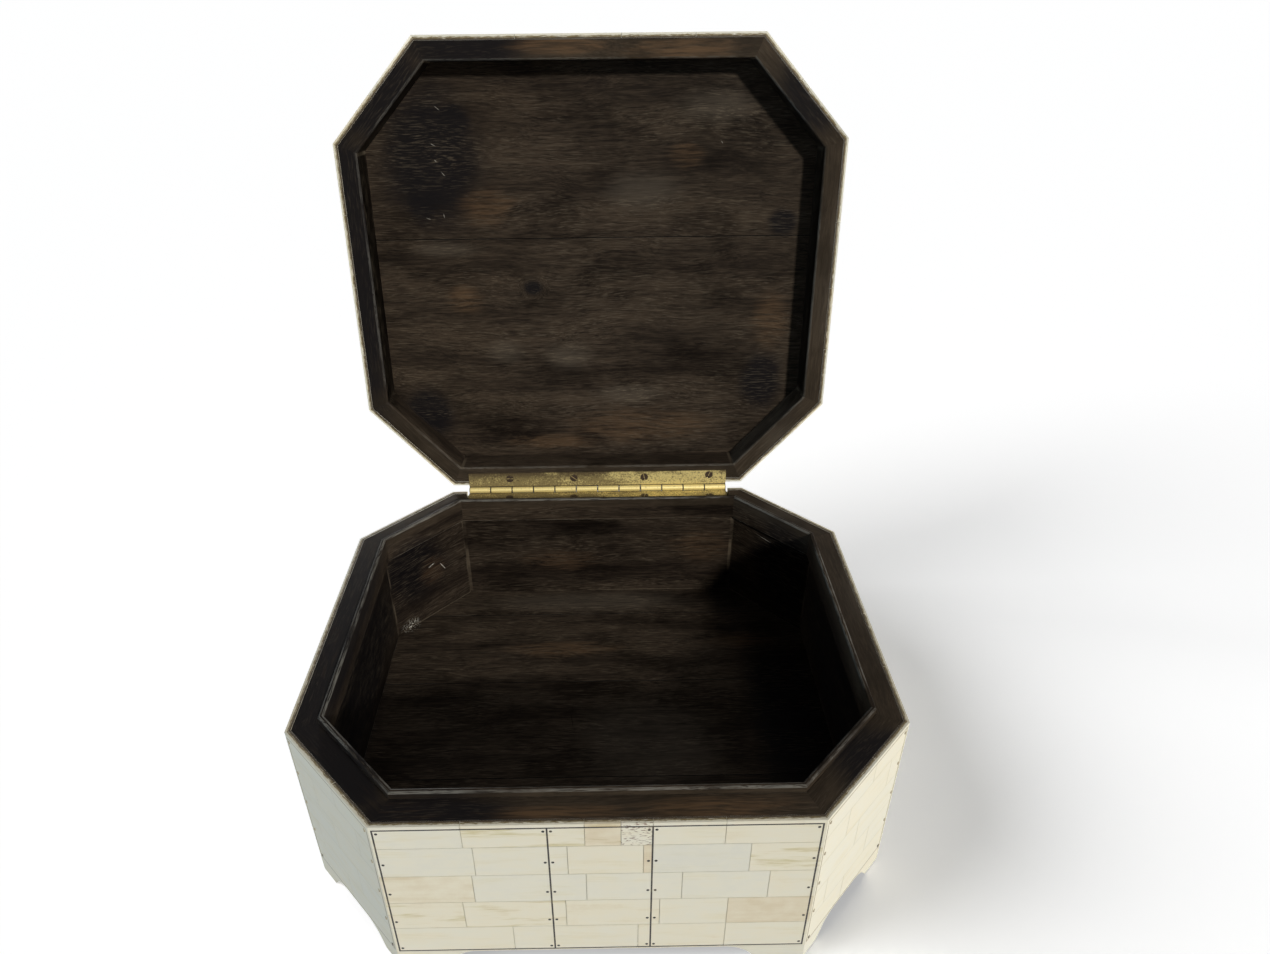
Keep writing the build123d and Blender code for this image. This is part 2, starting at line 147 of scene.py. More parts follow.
def middle_of(points):
    """The middle of the box round some points."""
    low, high = reach_of(points)
    return (low + high) / 2


# ---- Nodes ----
class Wire:
    """An output socket; arithmetic on it adds Math nodes."""

    def __init__(self, net, socket):
        self.net = net
        self.socket = socket

    def math(self, operation, *values):
        return self.net.add("ShaderNodeMath", {"operation": operation}, dict(enumerate(values)))

    def __add__(self, other):
        return self.math("ADD", self, other)

    def __sub__(self, other):
        return self.math("SUBTRACT", self, other)

    def __rsub__(self, other):
        return self.math("SUBTRACT", other, self)

    def __mul__(self, other):
        return self.math("MULTIPLY", self, other)

    __radd__ = __add__
    __rmul__ = __mul__

    def at_most(self, other):
        return self.math("MINIMUM", self, other)

    def at_least(self, other):
        return self.math("MAXIMUM", self, other)


class Net:
    """A node tree that is built a node at a time."""

    def __init__(self, tree):
        self.tree = tree

    def add(self, kind, settings=None, sockets=None, output=0):
        """Adds a node, makes its settings, then fills its sockets; returns one of its outputs."""
        node = self.tree.nodes.new(kind)
        for name, value in (settings or {}).items():
            if name == "stops":
                self.set_stops(node.color_ramp, value)
            else:
                setattr(node, name, value)
        for key, value in (sockets or {}).items():
            if isinstance(value, Wire):
                self.tree.links.new(value.socket, node.inputs[key])
            else:
                node.inputs[key].default_value = value
        return Wire(self, node.outputs[output]) if len(node.outputs) else None

    @staticmethod
    def set_stops(ramp, stops):
        """Gives a ramp its stops, each a position and a colour."""
        while len(ramp.elements) < len(stops):
            ramp.elements.new(0.5)
        for element, (position, colour) in zip(ramp.elements, stops):
            element.position = position
            element.color = (*colour[:3], 1)


class Finish(Net):
    """A surface material and the handful of patterns that the chest's finishes share."""

    def __init__(self, name):
        self.material = bpy.data.materials.new(name)
        self.material.use_nodes = True
        super().__init__(self.material.node_tree)
        self.tree.nodes.clear()

    def place(self):
        """Where a point lies on the object."""
        return self.add("ShaderNodeTexCoord", output="Object")

    def attribute(self, name):
        """A stored vector."""
        return self.add("ShaderNodeAttribute", {"attribute_name": name}, output="Vector")

    def share(self, name):
        """A stored number."""
        return self.add("ShaderNodeAttribute", {"attribute_name": name}, output="Fac")

    def parts(self, vector):
        """The three numbers of a vector."""
        split = self.add("ShaderNodeSeparateXYZ", None, {0: vector}).socket.node
        return [Wire(self, socket) for socket in split.outputs]

    def vector_math(self, operation, *values, output="Vector"):
        sockets = dict(enumerate(values))
        return self.add("ShaderNodeVectorMath", {"operation": operation}, sockets, output)

    def stretch(self, vector, factors, shift=(0, 0, 0)):
        """A vector multiplied by a factor and shifted along each axis."""
        return self.vector_math("MULTIPLY_ADD", vector, factors, shift)

    def push(self, vector, other):
        return self.vector_math("ADD", vector, other)

    def length(self, vector):
        return self.vector_math("LENGTH", vector, output="Value")

    def noise(self, vector, scale=1.0, detail=2.0, roughness=0.5):
        sockets = {"Vector": vector, "Scale": scale, "Detail": detail, "Roughness": roughness}
        return self.add("ShaderNodeTexNoise", None, sockets)

    def fade(self, value, low, high):
        """A smooth step from nothing to one as a value goes from low to high."""
        sockets = {"Value": value, "From Min": low, "From Max": high}
        return self.add("ShaderNodeMapRange", {"interpolation_type": "SMOOTHSTEP"}, sockets)

    def near(self, value, target, reach, core=0.0):
        """One where a value is within a core of a target, nothing a reach away."""
        off = value - target
        return self.fade(off.math("ABSOLUTE", off), reach, core)

    def mix(self, factor, first, second):
        """A colour between two colours."""
        sockets = {0: factor, 6: self.solid(first), 7: self.solid(second)}
        return self.add("ShaderNodeMix", {"data_type": "RGBA"}, sockets, output=2)

    def darken(self, colour, factor, by):
        """A colour multiplied by another where the factor says so."""
        sockets = {0: factor, 6: colour, 7: self.solid(by)}
        settings = {"data_type": "RGBA", "blend_type": "MULTIPLY"}
        return self.add("ShaderNodeMix", settings, sockets, output=2)

    @staticmethod
    def solid(colour):
        """A socket as it is, or a colour made opaque."""
        return colour if isinstance(colour, Wire) else (*colour[:3], 1)

    def spot(self, place, centre, reach):
        """One at a centre, falling to nothing at a reach along each axis."""
        factors = tuple(1 / r for r in reach)
        shift = tuple(-c / r for c, r in zip(centre, reach))
        return self.fade(self.length(self.stretch(place, factors, shift)), 1.0, SPOT_CORE)

    def most(self, values):
        """The greatest of some numbers."""
        first, *others = values
        for other in others:
            first = first.at_least(other)
        return first

    def line(self, place, start, end, width):
        """One on the line between two places, falling to nothing a width beside it."""
        to_start, to_end = (
            self.vector_math("DISTANCE", place, point, output="Value") for point in (start, end)
        )
        length = math.dist(start, end)
        return self.fade(to_start + to_end, length + 2 * width * width / length, length)

    def bump(self, height, distance, strength):
        sockets = {"Height": height, "Distance": distance, "Strength": strength}
        return self.add("ShaderNodeBump", None, sockets)

    def surface(self, sockets):
        """Ends the material in a shader with these sockets."""
        shader = self.add("ShaderNodeBsdfPrincipled", None, sockets)
        self.add("ShaderNodeOutputMaterial", None, {"Surface": shader})
        return self.material


def linear(red, green, blue):
    """A colour given as it looks on a screen, 0 to 255, as the light it stands for."""
    return tuple(
        v / 12.92 if v <= 0.04045 else ((v + 0.055) / 1.055) ** 2.4
        for v in (red / 255, green / 255, blue / 255)
    )


# ---- Settings that repeat ----
def colour_setting(name, description, red, green, blue):
    """A colour, whose default is given as it looks on a screen."""
    return FloatVectorProperty(
        name=name, description=description, subtype="COLOR", size=3, min=0, max=1,
        default=linear(red, green, blue),
    )


def share_setting(name, description, default):
    """A number from nothing to one."""
    return FloatProperty(name=name, description=description, min=0, max=1, default=default)


def edge_setting(description, default):
    """The radius of a finish's edges."""
    return FloatProperty(
        name="Edge", description=description, unit="LENGTH", min=0, default=default,
    )


def lamp_light(lamp, default):
    """How bright a lamp is."""
    description = f"Light of the {lamp.lower()} lamp on white, 1 is white"
    return FloatProperty(name=lamp, description=description, min=0, default=default)


def lamp_turn(lamp, degrees):
    """Where a lamp stands round the chest."""
    return FloatProperty(
        name=f"{lamp} turn", subtype="ANGLE", default=math.radians(degrees),
        description=f"{lamp} lamp's place round the chest, from the front to the right",
    )


def lamp_rise(lamp, degrees):
    """How high a lamp stands."""
    return FloatProperty(
        name=f"{lamp} rise", subtype="ANGLE", default=math.radians(degrees),
        description=f"{lamp} lamp's height above the floor",
    )


# ---- Meshes ----
def merged(node, name, mitred=False):
    """A copy of a node's mesh in which loose triangles are joined and flat faces are whole.

    Where a node's pieces meet in mitres, each side's triangles are joined on their own.
    """
    mesh = bpy.data.meshes.new(name)
    work = bmesh.new()
    work.from_mesh(NODES[node].data)
    bmesh.ops.split_edges(work, edges=work.edges)
    sides = {}
    to_shut = shut_matrix(node)
    for face in work.faces:
        side = face_side(face, to_shut) if mitred else "all"
        sides.setdefault(side, []).extend(face.verts)
    for verts in sides.values():
        bmesh.ops.remove_doubles(work, verts=verts, dist=MERGE)
    bmesh.ops.dissolve_limit(work, angle_limit=FLAT, verts=work.verts, edges=work.edges)
    work.to_mesh(mesh)
    work.free()
    return mesh


def islands(mesh, node):
    """For each separate piece of a node's mesh, its vertices and their places on the shut chest."""
    to_shut = shut_matrix(node)
    root = list(range(len(mesh.vertices)))

    def find(k):
        while root[k] != k:
            root[k] = root[root[k]]
            k = root[k]
        return k

    for edge in mesh.edges:
        a, b = edge.vertices
        root[find(a)] = find(b)
    groups = {}
    for k in range(len(root)):
        groups.setdefault(find(k), []).append(k)
    return [
        (group, [to_shut @ mesh.vertices[k].co for k in group]) for group in groups.values()
    ]


def plain(obj, name):
    """A new object whose mesh is another's with its modifiers applied; the other goes."""
    bpy.context.view_layer.update()
    graph = bpy.context.evaluated_depsgraph_get()
    mesh = bpy.data.meshes.new_from_object(
        obj.evaluated_get(graph), preserve_all_data_layers=True, depsgraph=graph
    )
    mesh.name = name
    bpy.data.objects.remove(obj)
    return place_mesh(mesh, name)


def place_mesh(mesh, name):
    """A new object with a mesh."""
    obj = bpy.data.objects.new(name, mesh)
    bpy.context.scene.collection.objects.link(obj)
    return obj


def weigh_edges(mesh, node, bevelled):
    """Marks the edges to round over: the sharp ones, save those of a mitre, which stays tight."""
    turn = shut_matrix(node)
    work = bmesh.new()
    work.from_mesh(mesh)
    weight = work.edges.layers.float.new("bevel_weight_edge")

    def is_mitre(face):
        side = face_side(face, turn)
        normal = turn.to_3x3() @ face.normal
        return min(abs(normal.dot(run_of(side))), abs(normal.dot(PLANES[side][0]))) > SLANT

    mitres = {face for face in work.faces if "plank" not in node and is_mitre(face)}
    for edge in work.edges:
        sharp = len(edge.link_faces) == 2 and edge.calc_face_angle(0) > CREASE
        rounded = bevelled and sharp and edge.calc_length() > SHORT
        rounded = rounded and mitres.isdisjoint(edge.link_faces)
        edge[weight] = float(rounded)
        edge.smooth = rounded or not sharp
    work.to_mesh(mesh)
    work.free()


def eased(mesh, name, node, radius, segments=2):
    """An object whose sharp edges are rounded over, or kept where there is no radius."""
    weigh_edges(mesh, node, radius > 0)
    obj = place_mesh(mesh, name)
    for polygon in mesh.polygons:
        polygon.use_smooth = True
    if radius > 0:
        bevel = obj.modifiers.new("edges", "BEVEL")
        bevel.width = radius
        bevel.segments = segments
        bevel.limit_method = "WEIGHT"
        bevel.use_clamp_overlap = False
    weighted = obj.modifiers.new("shading", "WEIGHTED_NORMAL")
    weighted.weight = 100
    weighted.keep_sharp = True
    return plain(obj, name)


def write_vectors(mesh, name, values):
    """Stores a vector on each vertex."""
    layer = mesh.attributes.new(name, "FLOAT_VECTOR", "POINT")
    layer.data.foreach_set("vector", [number for value in values for number in value])


def mark_faces(mesh, node):
    """Stores on each face whether it is a facet of a rounded edge and whether it lies level."""
    turn = shut_matrix(node).to_3x3()
    facet = mesh.attributes.new("facet", "FLOAT", "FACE")
    level = mesh.attributes.new("level", "FLOAT", "FACE")
    for polygon, thin, flat in zip(mesh.polygons, facet.data, level.data):
        corners = [mesh.vertices[k].co for k in polygon.vertices]
        longest = max((a - b).length for a, b in zip(corners, corners[1:] + corners[:1]))
        thin.value = float(polygon.area / longest < THIN)
        flat.value = float(abs((turn @ polygon.normal).z) > LEVEL)


def dress(obj, node, material):
    """Gives a piece its material and its place in the chest, in place of a node."""
    obj.data.materials.clear()
    obj.data.materials.append(material)
    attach(obj, body_of(node))
    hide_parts(node)


def slot_of(node):
    """The material slot of a node."""
    return next(
        part["material_slot"] for part in frame["record"]["subparts"] if part["node"] == node
    )


def nodes_in(slot):
    """The nodes that have a material slot, by name."""
    return [node for node in sorted(NODES) if slot_of(node) == slot]


# ---- Wood ----
class ChestWood(bpy.types.PropertyGroup):
    stain: colour_setting("Stain", "Darkest colour of the stained wood", 31, 26, 22)
    body: colour_setting("Body", "Colour of the wood between the dark streaks", 62, 53, 44)
    rubbed: colour_setting("Rubbed", "Colour where the stain is worn thin", 90, 70, 51)
    # Also painted shade: this colour darkens the right of the box's inside.
    cool: colour_setting("Cool", "Colour where the stain lies thick", 19, 18, 20)
    dust: colour_setting("Pores", "Colour of the wax and dust in the pores", 106, 96, 82)
    edge: edge_setting("Radius of the eased edges", 0.45 * MM)
    roughness: share_setting("Roughness", "How dull the wax is", 0.42)


# Marks in the wood. Places are on the shut chest, in centimetres from the middle of its base, each
# with how far the mark reaches along the three axes.
ON_LID = 16.2  # height of the lid's inner face
ON_RIM = 13.3
ON_FLOOR = 3.8
KNOT = ((-5.0, 0.9, ON_LID), (1.5, 1.1, 1.0))
# Thick stain, and painted shade: the marks on the right wall, the back-right wall and the right of the floor
# darken where the box's walls shade it.
COOL_MARKS_AND_SHADE = (
    ((-13.3, -6.4, ON_LID), (2.7, 4.2, 1.0)), ((-10.7, -11.7, ON_LID), (2.6, 2.3, 1.0)),
    ((-5.0, 0.9, ON_LID), (1.3, 1.0, 1.0)), ((15.1, -4.0, ON_LID), (1.8, 1.5, 1.0)),
    ((-18.5, -2.0, ON_RIM), (5.0, 24.0, 2.0)), ((-15.5, -13.5, ON_RIM), (7.0, 7.0, 1.6)),
    ((14.0, 9.0, ON_LID), (3.0, 4.0, 1.0)), ((-12.5, -9.0, ON_LID), (6.0, 8.5, 1.0)),
    ((-14.5, 11.5, ON_LID), (3.5, 3.5, 1.0)), ((-9.0, -16.5, ON_RIM), (8.0, 2.4, 1.4)),
    ((16.5, -13.5, ON_RIM), (5.0, 5.0, 1.4)), ((-17.5, -1.0, 8.0), (2.5, 18.0, 7.0)),
    ((-15.5, 11.5, 9.5), (5.0, 5.0, 5.0)), ((15.5, 11.5, 9.0), (5.0, 5.0, 7.0)),
    ((17.5, -1.0, 8.0), (2.5, 18.0, 7.0)), ((14.5, 0.0, ON_FLOOR), (5.0, 14.0, 0.5)),
)
WARM_MARKS = (
    ((7.4, -9.1, ON_LID), (2.2, 1.6, 1.0)), ((-10.6, 1.6, ON_LID), (2.3, 1.9, 1.0)),
    ((-8.3, -5.4, ON_LID), (3.5, 2.1, 1.0)), ((-3.3, 14.4, ON_LID), (7.4, 1.1, 1.0)),
    ((3.8, 13.0, ON_LID), (9.9, 2.4, 1.0)), ((14.6, 3.8, ON_LID), (2.4, 3.6, 1.0)),
    ((9.1, 15.4, 8.6), (4.2, 1.0, 2.5)), ((-3.4, 15.4, 7.2), (5.5, 1.0, 1.8)),
    ((-14.2, 12.7, 8.3), (2.0, 2.1, 2.0)), ((-2.6, 7.5, ON_FLOOR), (7.3, 1.5, 1.0)),
    ((-2.0, -16.5, ON_RIM), (6.0, 0.8, 1.0)), ((12.2, 8.2, ON_FLOOR), (4.4, 1.6, 1.0)),
    ((6.4, -16.3, ON_RIM), (7.0, 1.3, 1.0)),
)
PALE_MARKS = (
    ((-7.6, 6.3, ON_LID), (2.8, 1.8, 1.0)), ((-2.3, 6.8, ON_LID), (3.6, 2.0, 1.0)),
    ((9.7, -12.5, ON_LID), (5.6, 2.3, 1.0)), ((3.7, -6.6, ON_LID), (5.0, 2.4, 1.0)),
    ((-12.0, -2.2, ON_LID), (4.5, 1.0, 1.0)), ((3.0, 10.0, ON_LID), (5.0, 1.4, 1.0)),
    # The second mark on the next line, in the middle of the floor, is painted light where the box's front shades
    # the floor.
    ((0.0, 13.6, ON_FLOOR), (16.0, 2.4, 0.3)), ((4.0, -3.0, ON_FLOOR), (9.0, 7.5, 0.3)),
    ((19.6, 1.5, ON_RIM), (2.9, 9.3, 1.0)), ((18.9, -3.0, 13.4), (1.0, 7.2, 1.0)),
    ((16.0, 13.6, ON_RIM), (4.3, 3.1, 1.0)),
)
SCRATCHES = (
    ((-11.9, -12.8, ON_LID), (-11.3, -12.3, ON_LID)),
    ((-12.5, -10.2, ON_LID), (-11.8, -9.8, ON_LID)),
    ((-12.2, -9.0, ON_LID), (-11.9, -8.7, ON_LID)), ((-11.8, -8.2, ON_LID), (-11.3, -7.6, ON_LID)),
    ((-13.3, -4.7, ON_LID), (-12.7, -4.5, ON_LID)), ((-11.8, -5.1, ON_LID), (-11.7, -4.5, ON_LID)),
    ((-14.5, 12.4, 8.7), (-14.0, 12.9, 8.9)), ((-13.6, 13.3, 8.6), (-13.2, 13.7, 7.6)),
    ((-17.1, 11.6, 3.9), (-16.2, 11.9, 3.9)), ((13.2, 13.7, 11.0), (14.6, 12.2, 10.8)),
    ((9.9, -10.1, ON_LID), (10.1, -9.8, ON_LID)),
)
CRACKS = (
    ((-10.3, -8.1, ON_LID), (-2.5, -7.9, ON_LID)), ((-2.5, -7.9, ON_LID), (4.1, -7.9, ON_LID)),
    ((5.3, -7.9, ON_LID), (8.4, -7.4, ON_LID)), ((8.4, -7.4, ON_LID), (11.4, -5.8, ON_LID)),
    ((9.5, -10.5, ON_LID), (11.8, -9.2, ON_LID)), ((11.8, -9.2, ON_LID), (15.3, -8.4, ON_LID)),
    ((-4.0, -6.6, ON_LID), (0.6, -6.1, ON_LID)), ((-2.2, 0.1, ON_FLOOR), (-2.0, -1.3, ON_FLOOR)),
)
SCRATCH_WIDTH = 0.055
CRACK_WIDTH = 0.03
DUSTY_CORNER = ((-16.6, 10.9, 4.0), (1.3, 1.3, 1.0))

# Colours laid over the wood, and shades that darken what they fall on; some of them are painted shade, painted
# shadow, painted highlight and painted light, as noted where they are used.
# pale stain, and painted light on the middle of the floor
PALE_STAIN_AND_LIGHT = linear(84, 77, 68)
RIM_STAIN = linear(62, 54, 44)
# worn edges, with a painted highlight along them
WORN_EDGE_AND_HIGHLIGHT = linear(120, 119, 114)
SCRATCHED = linear(190, 187, 178)
CLOUD_SHADE = linear(150, 148, 150)
# painted shade for the box's inside
INSIDE_PAINTED_SHADE = linear(200, 200, 204)
# painted shadow for the inner faces of the lid's rim
LID_PAINTED_SHADOW = linear(70, 68, 68)
# dark seams and cracks, and painted shadow under the lips
SEAM_SHADE_AND_PAINTED_SHADOW = linear(70, 66, 64)

BOARDS_APART = 40  # the most that a board's grain is set off, in centimetres
NO_SEAM = (Vector((0, 1, 0)), 9.0)  # a plane that no board reaches
INNER = {  # how far in from the cladding's outer face the inner faces of the boards lie
    "wall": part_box("wall_left")[1].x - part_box("bone_left")[0].x,
    "lip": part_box("lip_left")[1].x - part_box("bone_left")[0].x,
    "lid_rim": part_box("lid_rim_left")[1].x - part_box("bone_left")[0].x,
}
FLOOR_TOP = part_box("floor_plank_1")[1].z
LIP_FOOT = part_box("lip_back")[0].z
RIM_GAP = 1.1 * MM  # between the box's rim and the shut lid's
LID_FOOT = RIM_HEIGHT + RIM_GAP


def grain_axes(node, points):
    """Unit vectors along the grain, up the board and through it, for a board of the shut chest."""
    if "plank" in node:
        return Vector((1, 0, 0)), Vector((0, 1, 0)), Vector((0, 0, 1))
    middle = sum(points, Vector()) / len(points)
    side = side_at(middle)
    return run_of(side), Vector((0, 0, 1)), PLANES[side][0]


def seams_of(node, points):
    """Where a board meets its two neighbours: planes, each a direction and how far out it lies."""
    if "plank" in node:
        back = Vector((0, 1, 0))
        return (back, max(point.y for point in points)), (-back, -min(point.y for point in points))
    kind, _, side = node.partition("_")
    if kind == "lid":
        kind, side = "lid_rim", side.removeprefix("rim_")
    if kind not in INNER:
        return NO_SEAM, NO_SEAM
    at = SIDES.index(side)
    planes = []
    for near in (SIDES[at - 1], SIDES[(at + 1) % len(SIDES)]):
        out, reach = PLANES[near]
        planes.append((out, reach + MIDDLE.dot(out) - INNER[kind]))
    return planes


def lay_grain(mesh, node):
    """Stores three places for each vertex, in centimetres.

    They are its place in its own board, with boards set far apart, its place on the shut chest, and
    its distances from the board's two seams, with one for a plank and two for a lip strip.
    """
    grain, shut, board = ([None] * len(mesh.vertices) for _ in range(3))
    chance = random.Random(node)
    for group, points in islands(mesh, node):
        axes = grain_axes(node, points)
        away = Vector([chance.uniform(-BOARDS_APART, BOARDS_APART) for _ in range(3)])
        ends = seams_of(node, points)
        for k, point in zip(group, points):
            grain[k] = Vector([point.dot(axis) for axis in axes]) / CM + away
            shut[k] = (point - MIDDLE) / CM
            to_seams = [(reach - point.dot(out)) / CM for out, reach in ends]
            board[k] = (*to_seams, ("plank" in node) + 2 * node.startswith("lip"))
    write_vectors(mesh, "grain", grain)
    write_vectors(mesh, "shut", shut)
    write_vectors(mesh, "board", board)


class Figure:
    """Where a point of the wood lies, and the patterns of the grain there."""

    def __init__(self, f):
        grain, self.shut = f.attribute("grain"), f.attribute("shut")
        _, self.depth, self.height = f.parts(self.shut)
        to_one, to_other, kind = f.parts(f.attribute("board"))
        self.to_seam = to_one.at_most(to_other)
        self.lip, self.on_wall = f.fade(kind, 1.2, 1.8), f.fade(kind, 0.8, 0.2)
        on_plank = 1.0 - self.lip.at_least(self.on_wall)
        self.seam = f.fade(self.to_seam, 0.045, 0.02) * on_plank
        self.rim = f.near(self.height, RIM_HEIGHT / CM, 0.45, 0.2)

        sway = f.noise(f.stretch(grain, (0.09, 0.25, 0.25)), 1.0, 2.0)
        bend = sway * 1.6 + f.spot(self.shut, *KNOT) * 0.9
        swayed = f.push(grain, f.add("ShaderNodeCombineXYZ", None, {1: bend, 2: bend}))
        self.bands = f.noise(f.stretch(swayed, (0.06, 0.5, 0.5)), 1.0, 3.0, 0.55)
        self.streaks = f.noise(f.stretch(swayed, (0.35, 5.0, 5.0)), 1.0, 3.0, 0.6)
        self.fibres = f.noise(f.stretch(swayed, (1.0, 24, 24)), 1.0, 2.0)
        self.clouds = f.noise(f.stretch(grain, (0.16, 0.26, 0.26), (31, 5, 9)), 1.0, 4.0, 0.6)
        dashes = f.noise(f.stretch(swayed, (0.9, 13, 13), (7, 3, 1)), 1.0, 2.0, 0.55)
        dash = f.fade(dashes, 0.50, 0.70) * f.fade(self.bands, 0.32, 0.58)
        self.dash = dash * (1.0 - 0.6 * self.rim)


def stain(f, wood, look):
    """The stain: streaks, clouds, each board's own patches and pale dashes along the grain, with painted shade
    inside the box, painted shadow in the lid's hollow and painted light on the floor.
    """
    ragged = 1.1 * (wood.clouds - 0.5) + 0.8 * (wood.streaks - 0.5)

    def patch(marks, full):
        spots = [f.spot(wood.shut, *mark) for mark in marks]
        return f.fade(f.most(spots) + ragged, 0.10, full)

    cool, warm, pale = patch(COOL_MARKS_AND_SHADE, 0.9), patch(WARM_MARKS, 1.2), patch(PALE_MARKS, 1.4)
    tone = wood.bands * 0.28 + wood.streaks * 0.36 + wood.fibres * 0.36
    colour = f.mix(f.fade(tone, 0.38, 0.62), look.stain, look.body)
    colour = f.darken(colour, f.fade(wood.clouds, 0.54, 0.34) * 0.75, CLOUD_SHADE)
    colour = f.mix(wood.rim * 0.35, colour, RIM_STAIN)
    # Pale marks: thin stain, and painted light on the middle of the floor.
    colour = f.mix(pale * 0.45, colour, PALE_STAIN_AND_LIGHT)
    # Thick stain, and painted shade on the right of the box's inside.
    colour = f.mix(cool * 0.92, colour, look.cool)
    rubbed = warm * f.fade(wood.streaks, 0.22, 0.70) * (0.55 + 0.30 * wood.rim)
    colour = f.mix(rubbed, colour, look.rubbed)
    # Painted shade: the box's boards darken from the rim down, as the inside of the box lies in shade.
    painted_inside_shade = wood.on_wall * f.fade(wood.height, RIM_HEIGHT / CM, RIM_HEIGHT / CM - 1.0)
    colour = f.darken(colour, painted_inside_shade * 0.8, INSIDE_PAINTED_SHADE)
    # Painted shadow: the inner faces of the lid's rim are darkened, less towards the hinge, as the rim shades the
    # lid's hollow.
    lid_painted_shadow = wood.on_wall * f.fade(wood.height, LID_FOOT / CM + 0.05, LID_FOOT / CM + 0.3)
    colour = f.darken(colour, lid_painted_shadow * f.fade(wood.depth, 11.5, 9.0), LID_PAINTED_SHADOW)
    return f.mix(wood.dash * (0.30 + 0.30 * pale), colour, look.dust)


def age(f, wood, look, colour):
    """The stain with its edges worn and lightened by a painted highlight, dust in the corners, dark seams, cracks,
    a painted shadow under the lips, and scratches.
    """
    # Worn edges and a painted highlight: the facets of the rounded edges, most of all on the lips, go pale grey.
    wear_and_highlight = f.share("facet") * f.fade(wood.clouds, 0.36, 0.54) * f.fade(wood.fibres, 0.34, 0.54)
    colour = f.mix(wear_and_highlight * (0.22 + 0.33 * wood.lip), colour, WORN_EDGE_AND_HIGHLIGHT)
    in_corner = f.fade(wood.to_seam, 0.10, 0.04) * (1.0 - f.share("level"))
    on_floor = f.near(wood.height, FLOOR_TOP / CM, 0.10, 0.03)
    at_lip_foot = wood.lip * f.near(wood.height, LIP_FOOT / CM, 0.10, 0.04)
    dusty = (on_floor.at_least(in_corner) * wood.on_wall).at_least(at_lip_foot)
    colour = f.mix(dusty * f.fade(wood.clouds, 0.40, 0.62) * 0.4, colour, look.dust)

    crack = f.most([f.line(wood.shut, *ends, CRACK_WIDTH) for ends in CRACKS])
    # Painted shadow: a dark line on the walls just under the lips' lower edge.
    painted_shadow_under_lip = wood.on_wall * (1.0 - wood.lip)
    painted_shadow_under_lip = painted_shadow_under_lip * f.near(wood.height, LIP_FOOT / CM - 0.06, 0.14, 0.06)
    dark = wood.seam.at_least(crack * 0.75).at_least(painted_shadow_under_lip * 0.8)
    colour = f.darken(colour, dark, SEAM_SHADE_AND_PAINTED_SHADOW)
    specks = f.fade(f.noise(wood.shut, 7.0, 2.0), 0.52, 0.60) * f.spot(wood.shut, *DUSTY_CORNER)
    scratch = f.most([f.line(wood.shut, *ends, SCRATCH_WIDTH) for ends in SCRATCHES])
    white = (scratch * f.fade(wood.fibres, 0.34, 0.46)).at_least(specks)
    return f.mix(white, colour, SCRATCHED)


def stained_wood(look):
    """Dark hardwood under a thin wax."""
    f = Finish("stained wood")
    wood = Figure(f)
    grooves = wood.fibres * 0.5 + wood.streaks * 0.6 - wood.dash * 0.5 - wood.seam
    return f.surface({
        "Base Color": age(f, wood, look, stain(f, wood, look)),
        "Roughness": look.roughness + 0.2 * (wood.streaks - 0.5) + wood.dash * 0.15,
        "Normal": f.bump(grooves, 0.12 * MM, 0.6),
        "Specular IOR Level": 0.02,
    })


class CHEST_OT_wood(bpy.types.Operator):
    """Eases and stains every board, plank, lip strip and bracket"""

    bl_idname = "chest.wood"
    bl_label = "Wood"

    def execute(self, context):
        look = context.scene.chest_wood
        material = stained_wood(look)
        for node in nodes_in("dark_wood"):
            name = f"{node}_wood"
            mesh = merged(node, name, mitred=node.startswith("foot"))
            piece = eased(mesh, name, node, look.edge)
            lay_grain(piece.data, node)
            mark_faces(piece.data, node)
            dress(piece, node, material)
        return {"FINISHED"}


# ---- Bone ----
class ChestBone(bpy.types.PropertyGroup):
    grey: colour_setting("Grey", "Coolest tiles", 211, 211, 203)
    ivory: colour_setting("Ivory", "Most of the tiles", 219, 217, 204)
    cream: colour_setting("Cream", "Warm tiles", 222, 217, 199)
    tan: colour_setting("Tan", "Darkest tiles and streaks", 210, 199, 176)
    rim: colour_setting("Rim", "Wood stain that has run over the tiles' rims", 52, 42, 30)
    olive: colour_setting("Olive", "Thin stain on the tiles' rims", 116, 103, 72)
    edge: edge_setting("Radius of the tiles' edges", 0.05 * MM)
    joint: share_setting("Joints", "How dark the joints have gone", 0.12)
    roughness: share_setting("Roughness", "How dull the polish is", 0.54)


def tile_frame(node, middle):
    """The axes of a tile on the shut chest: along its course, across it, and outwards."""
    if node == "lid_bone_top":
        return Vector((1, 0, 0)), Vector((0, 1, 0)), Vector((0, 0, 1))
    side = side_at(middle)
    return run_of(side), Vector((0, 0, 1)), PLANES[side][0]


# Tones of single tiles of the front, by course from below and place from the left: 0 grey, 1 tan.
FRONT_TONES = {
    (4, 0): 0.35, (4, 1): 0.55, (4, 2): 0.90, (4, 3): 0.45, (4, 4): 0.48, (4, 5): 0.60,
    (3, 0): 0.36, (3, 1): 0.42, (3, 2): 0.58, (3, 3): 0.95, (3, 4): 0.18, (3, 5): 0.62,
    (2, 0): 0.76, (2, 1): 0.34, (2, 2): 0.40, (2, 3): 0.36, (2, 4): 0.58,
    (1, 0): 0.66, (1, 1): 0.64, (1, 2): 0.62, (1, 3): 0.50, (1, 4): 0.92,
    (0, 0): 0.52, (0, 1): 0.50, (0, 2): 0.60, (0, 3): 0.52,
}
POROUS_TILE = (4, 3)
STREAKY_TILES = ((4, 1), (4, 2), (3, 5), (1, 0), (1, 1))
MIDDLE_TONE = 0.45
TONE_CURVE = (1.6, 2.4)  # the beta curve that tones are drawn from, more of them low than high
TONE_MEAN = 0.4  # its mean
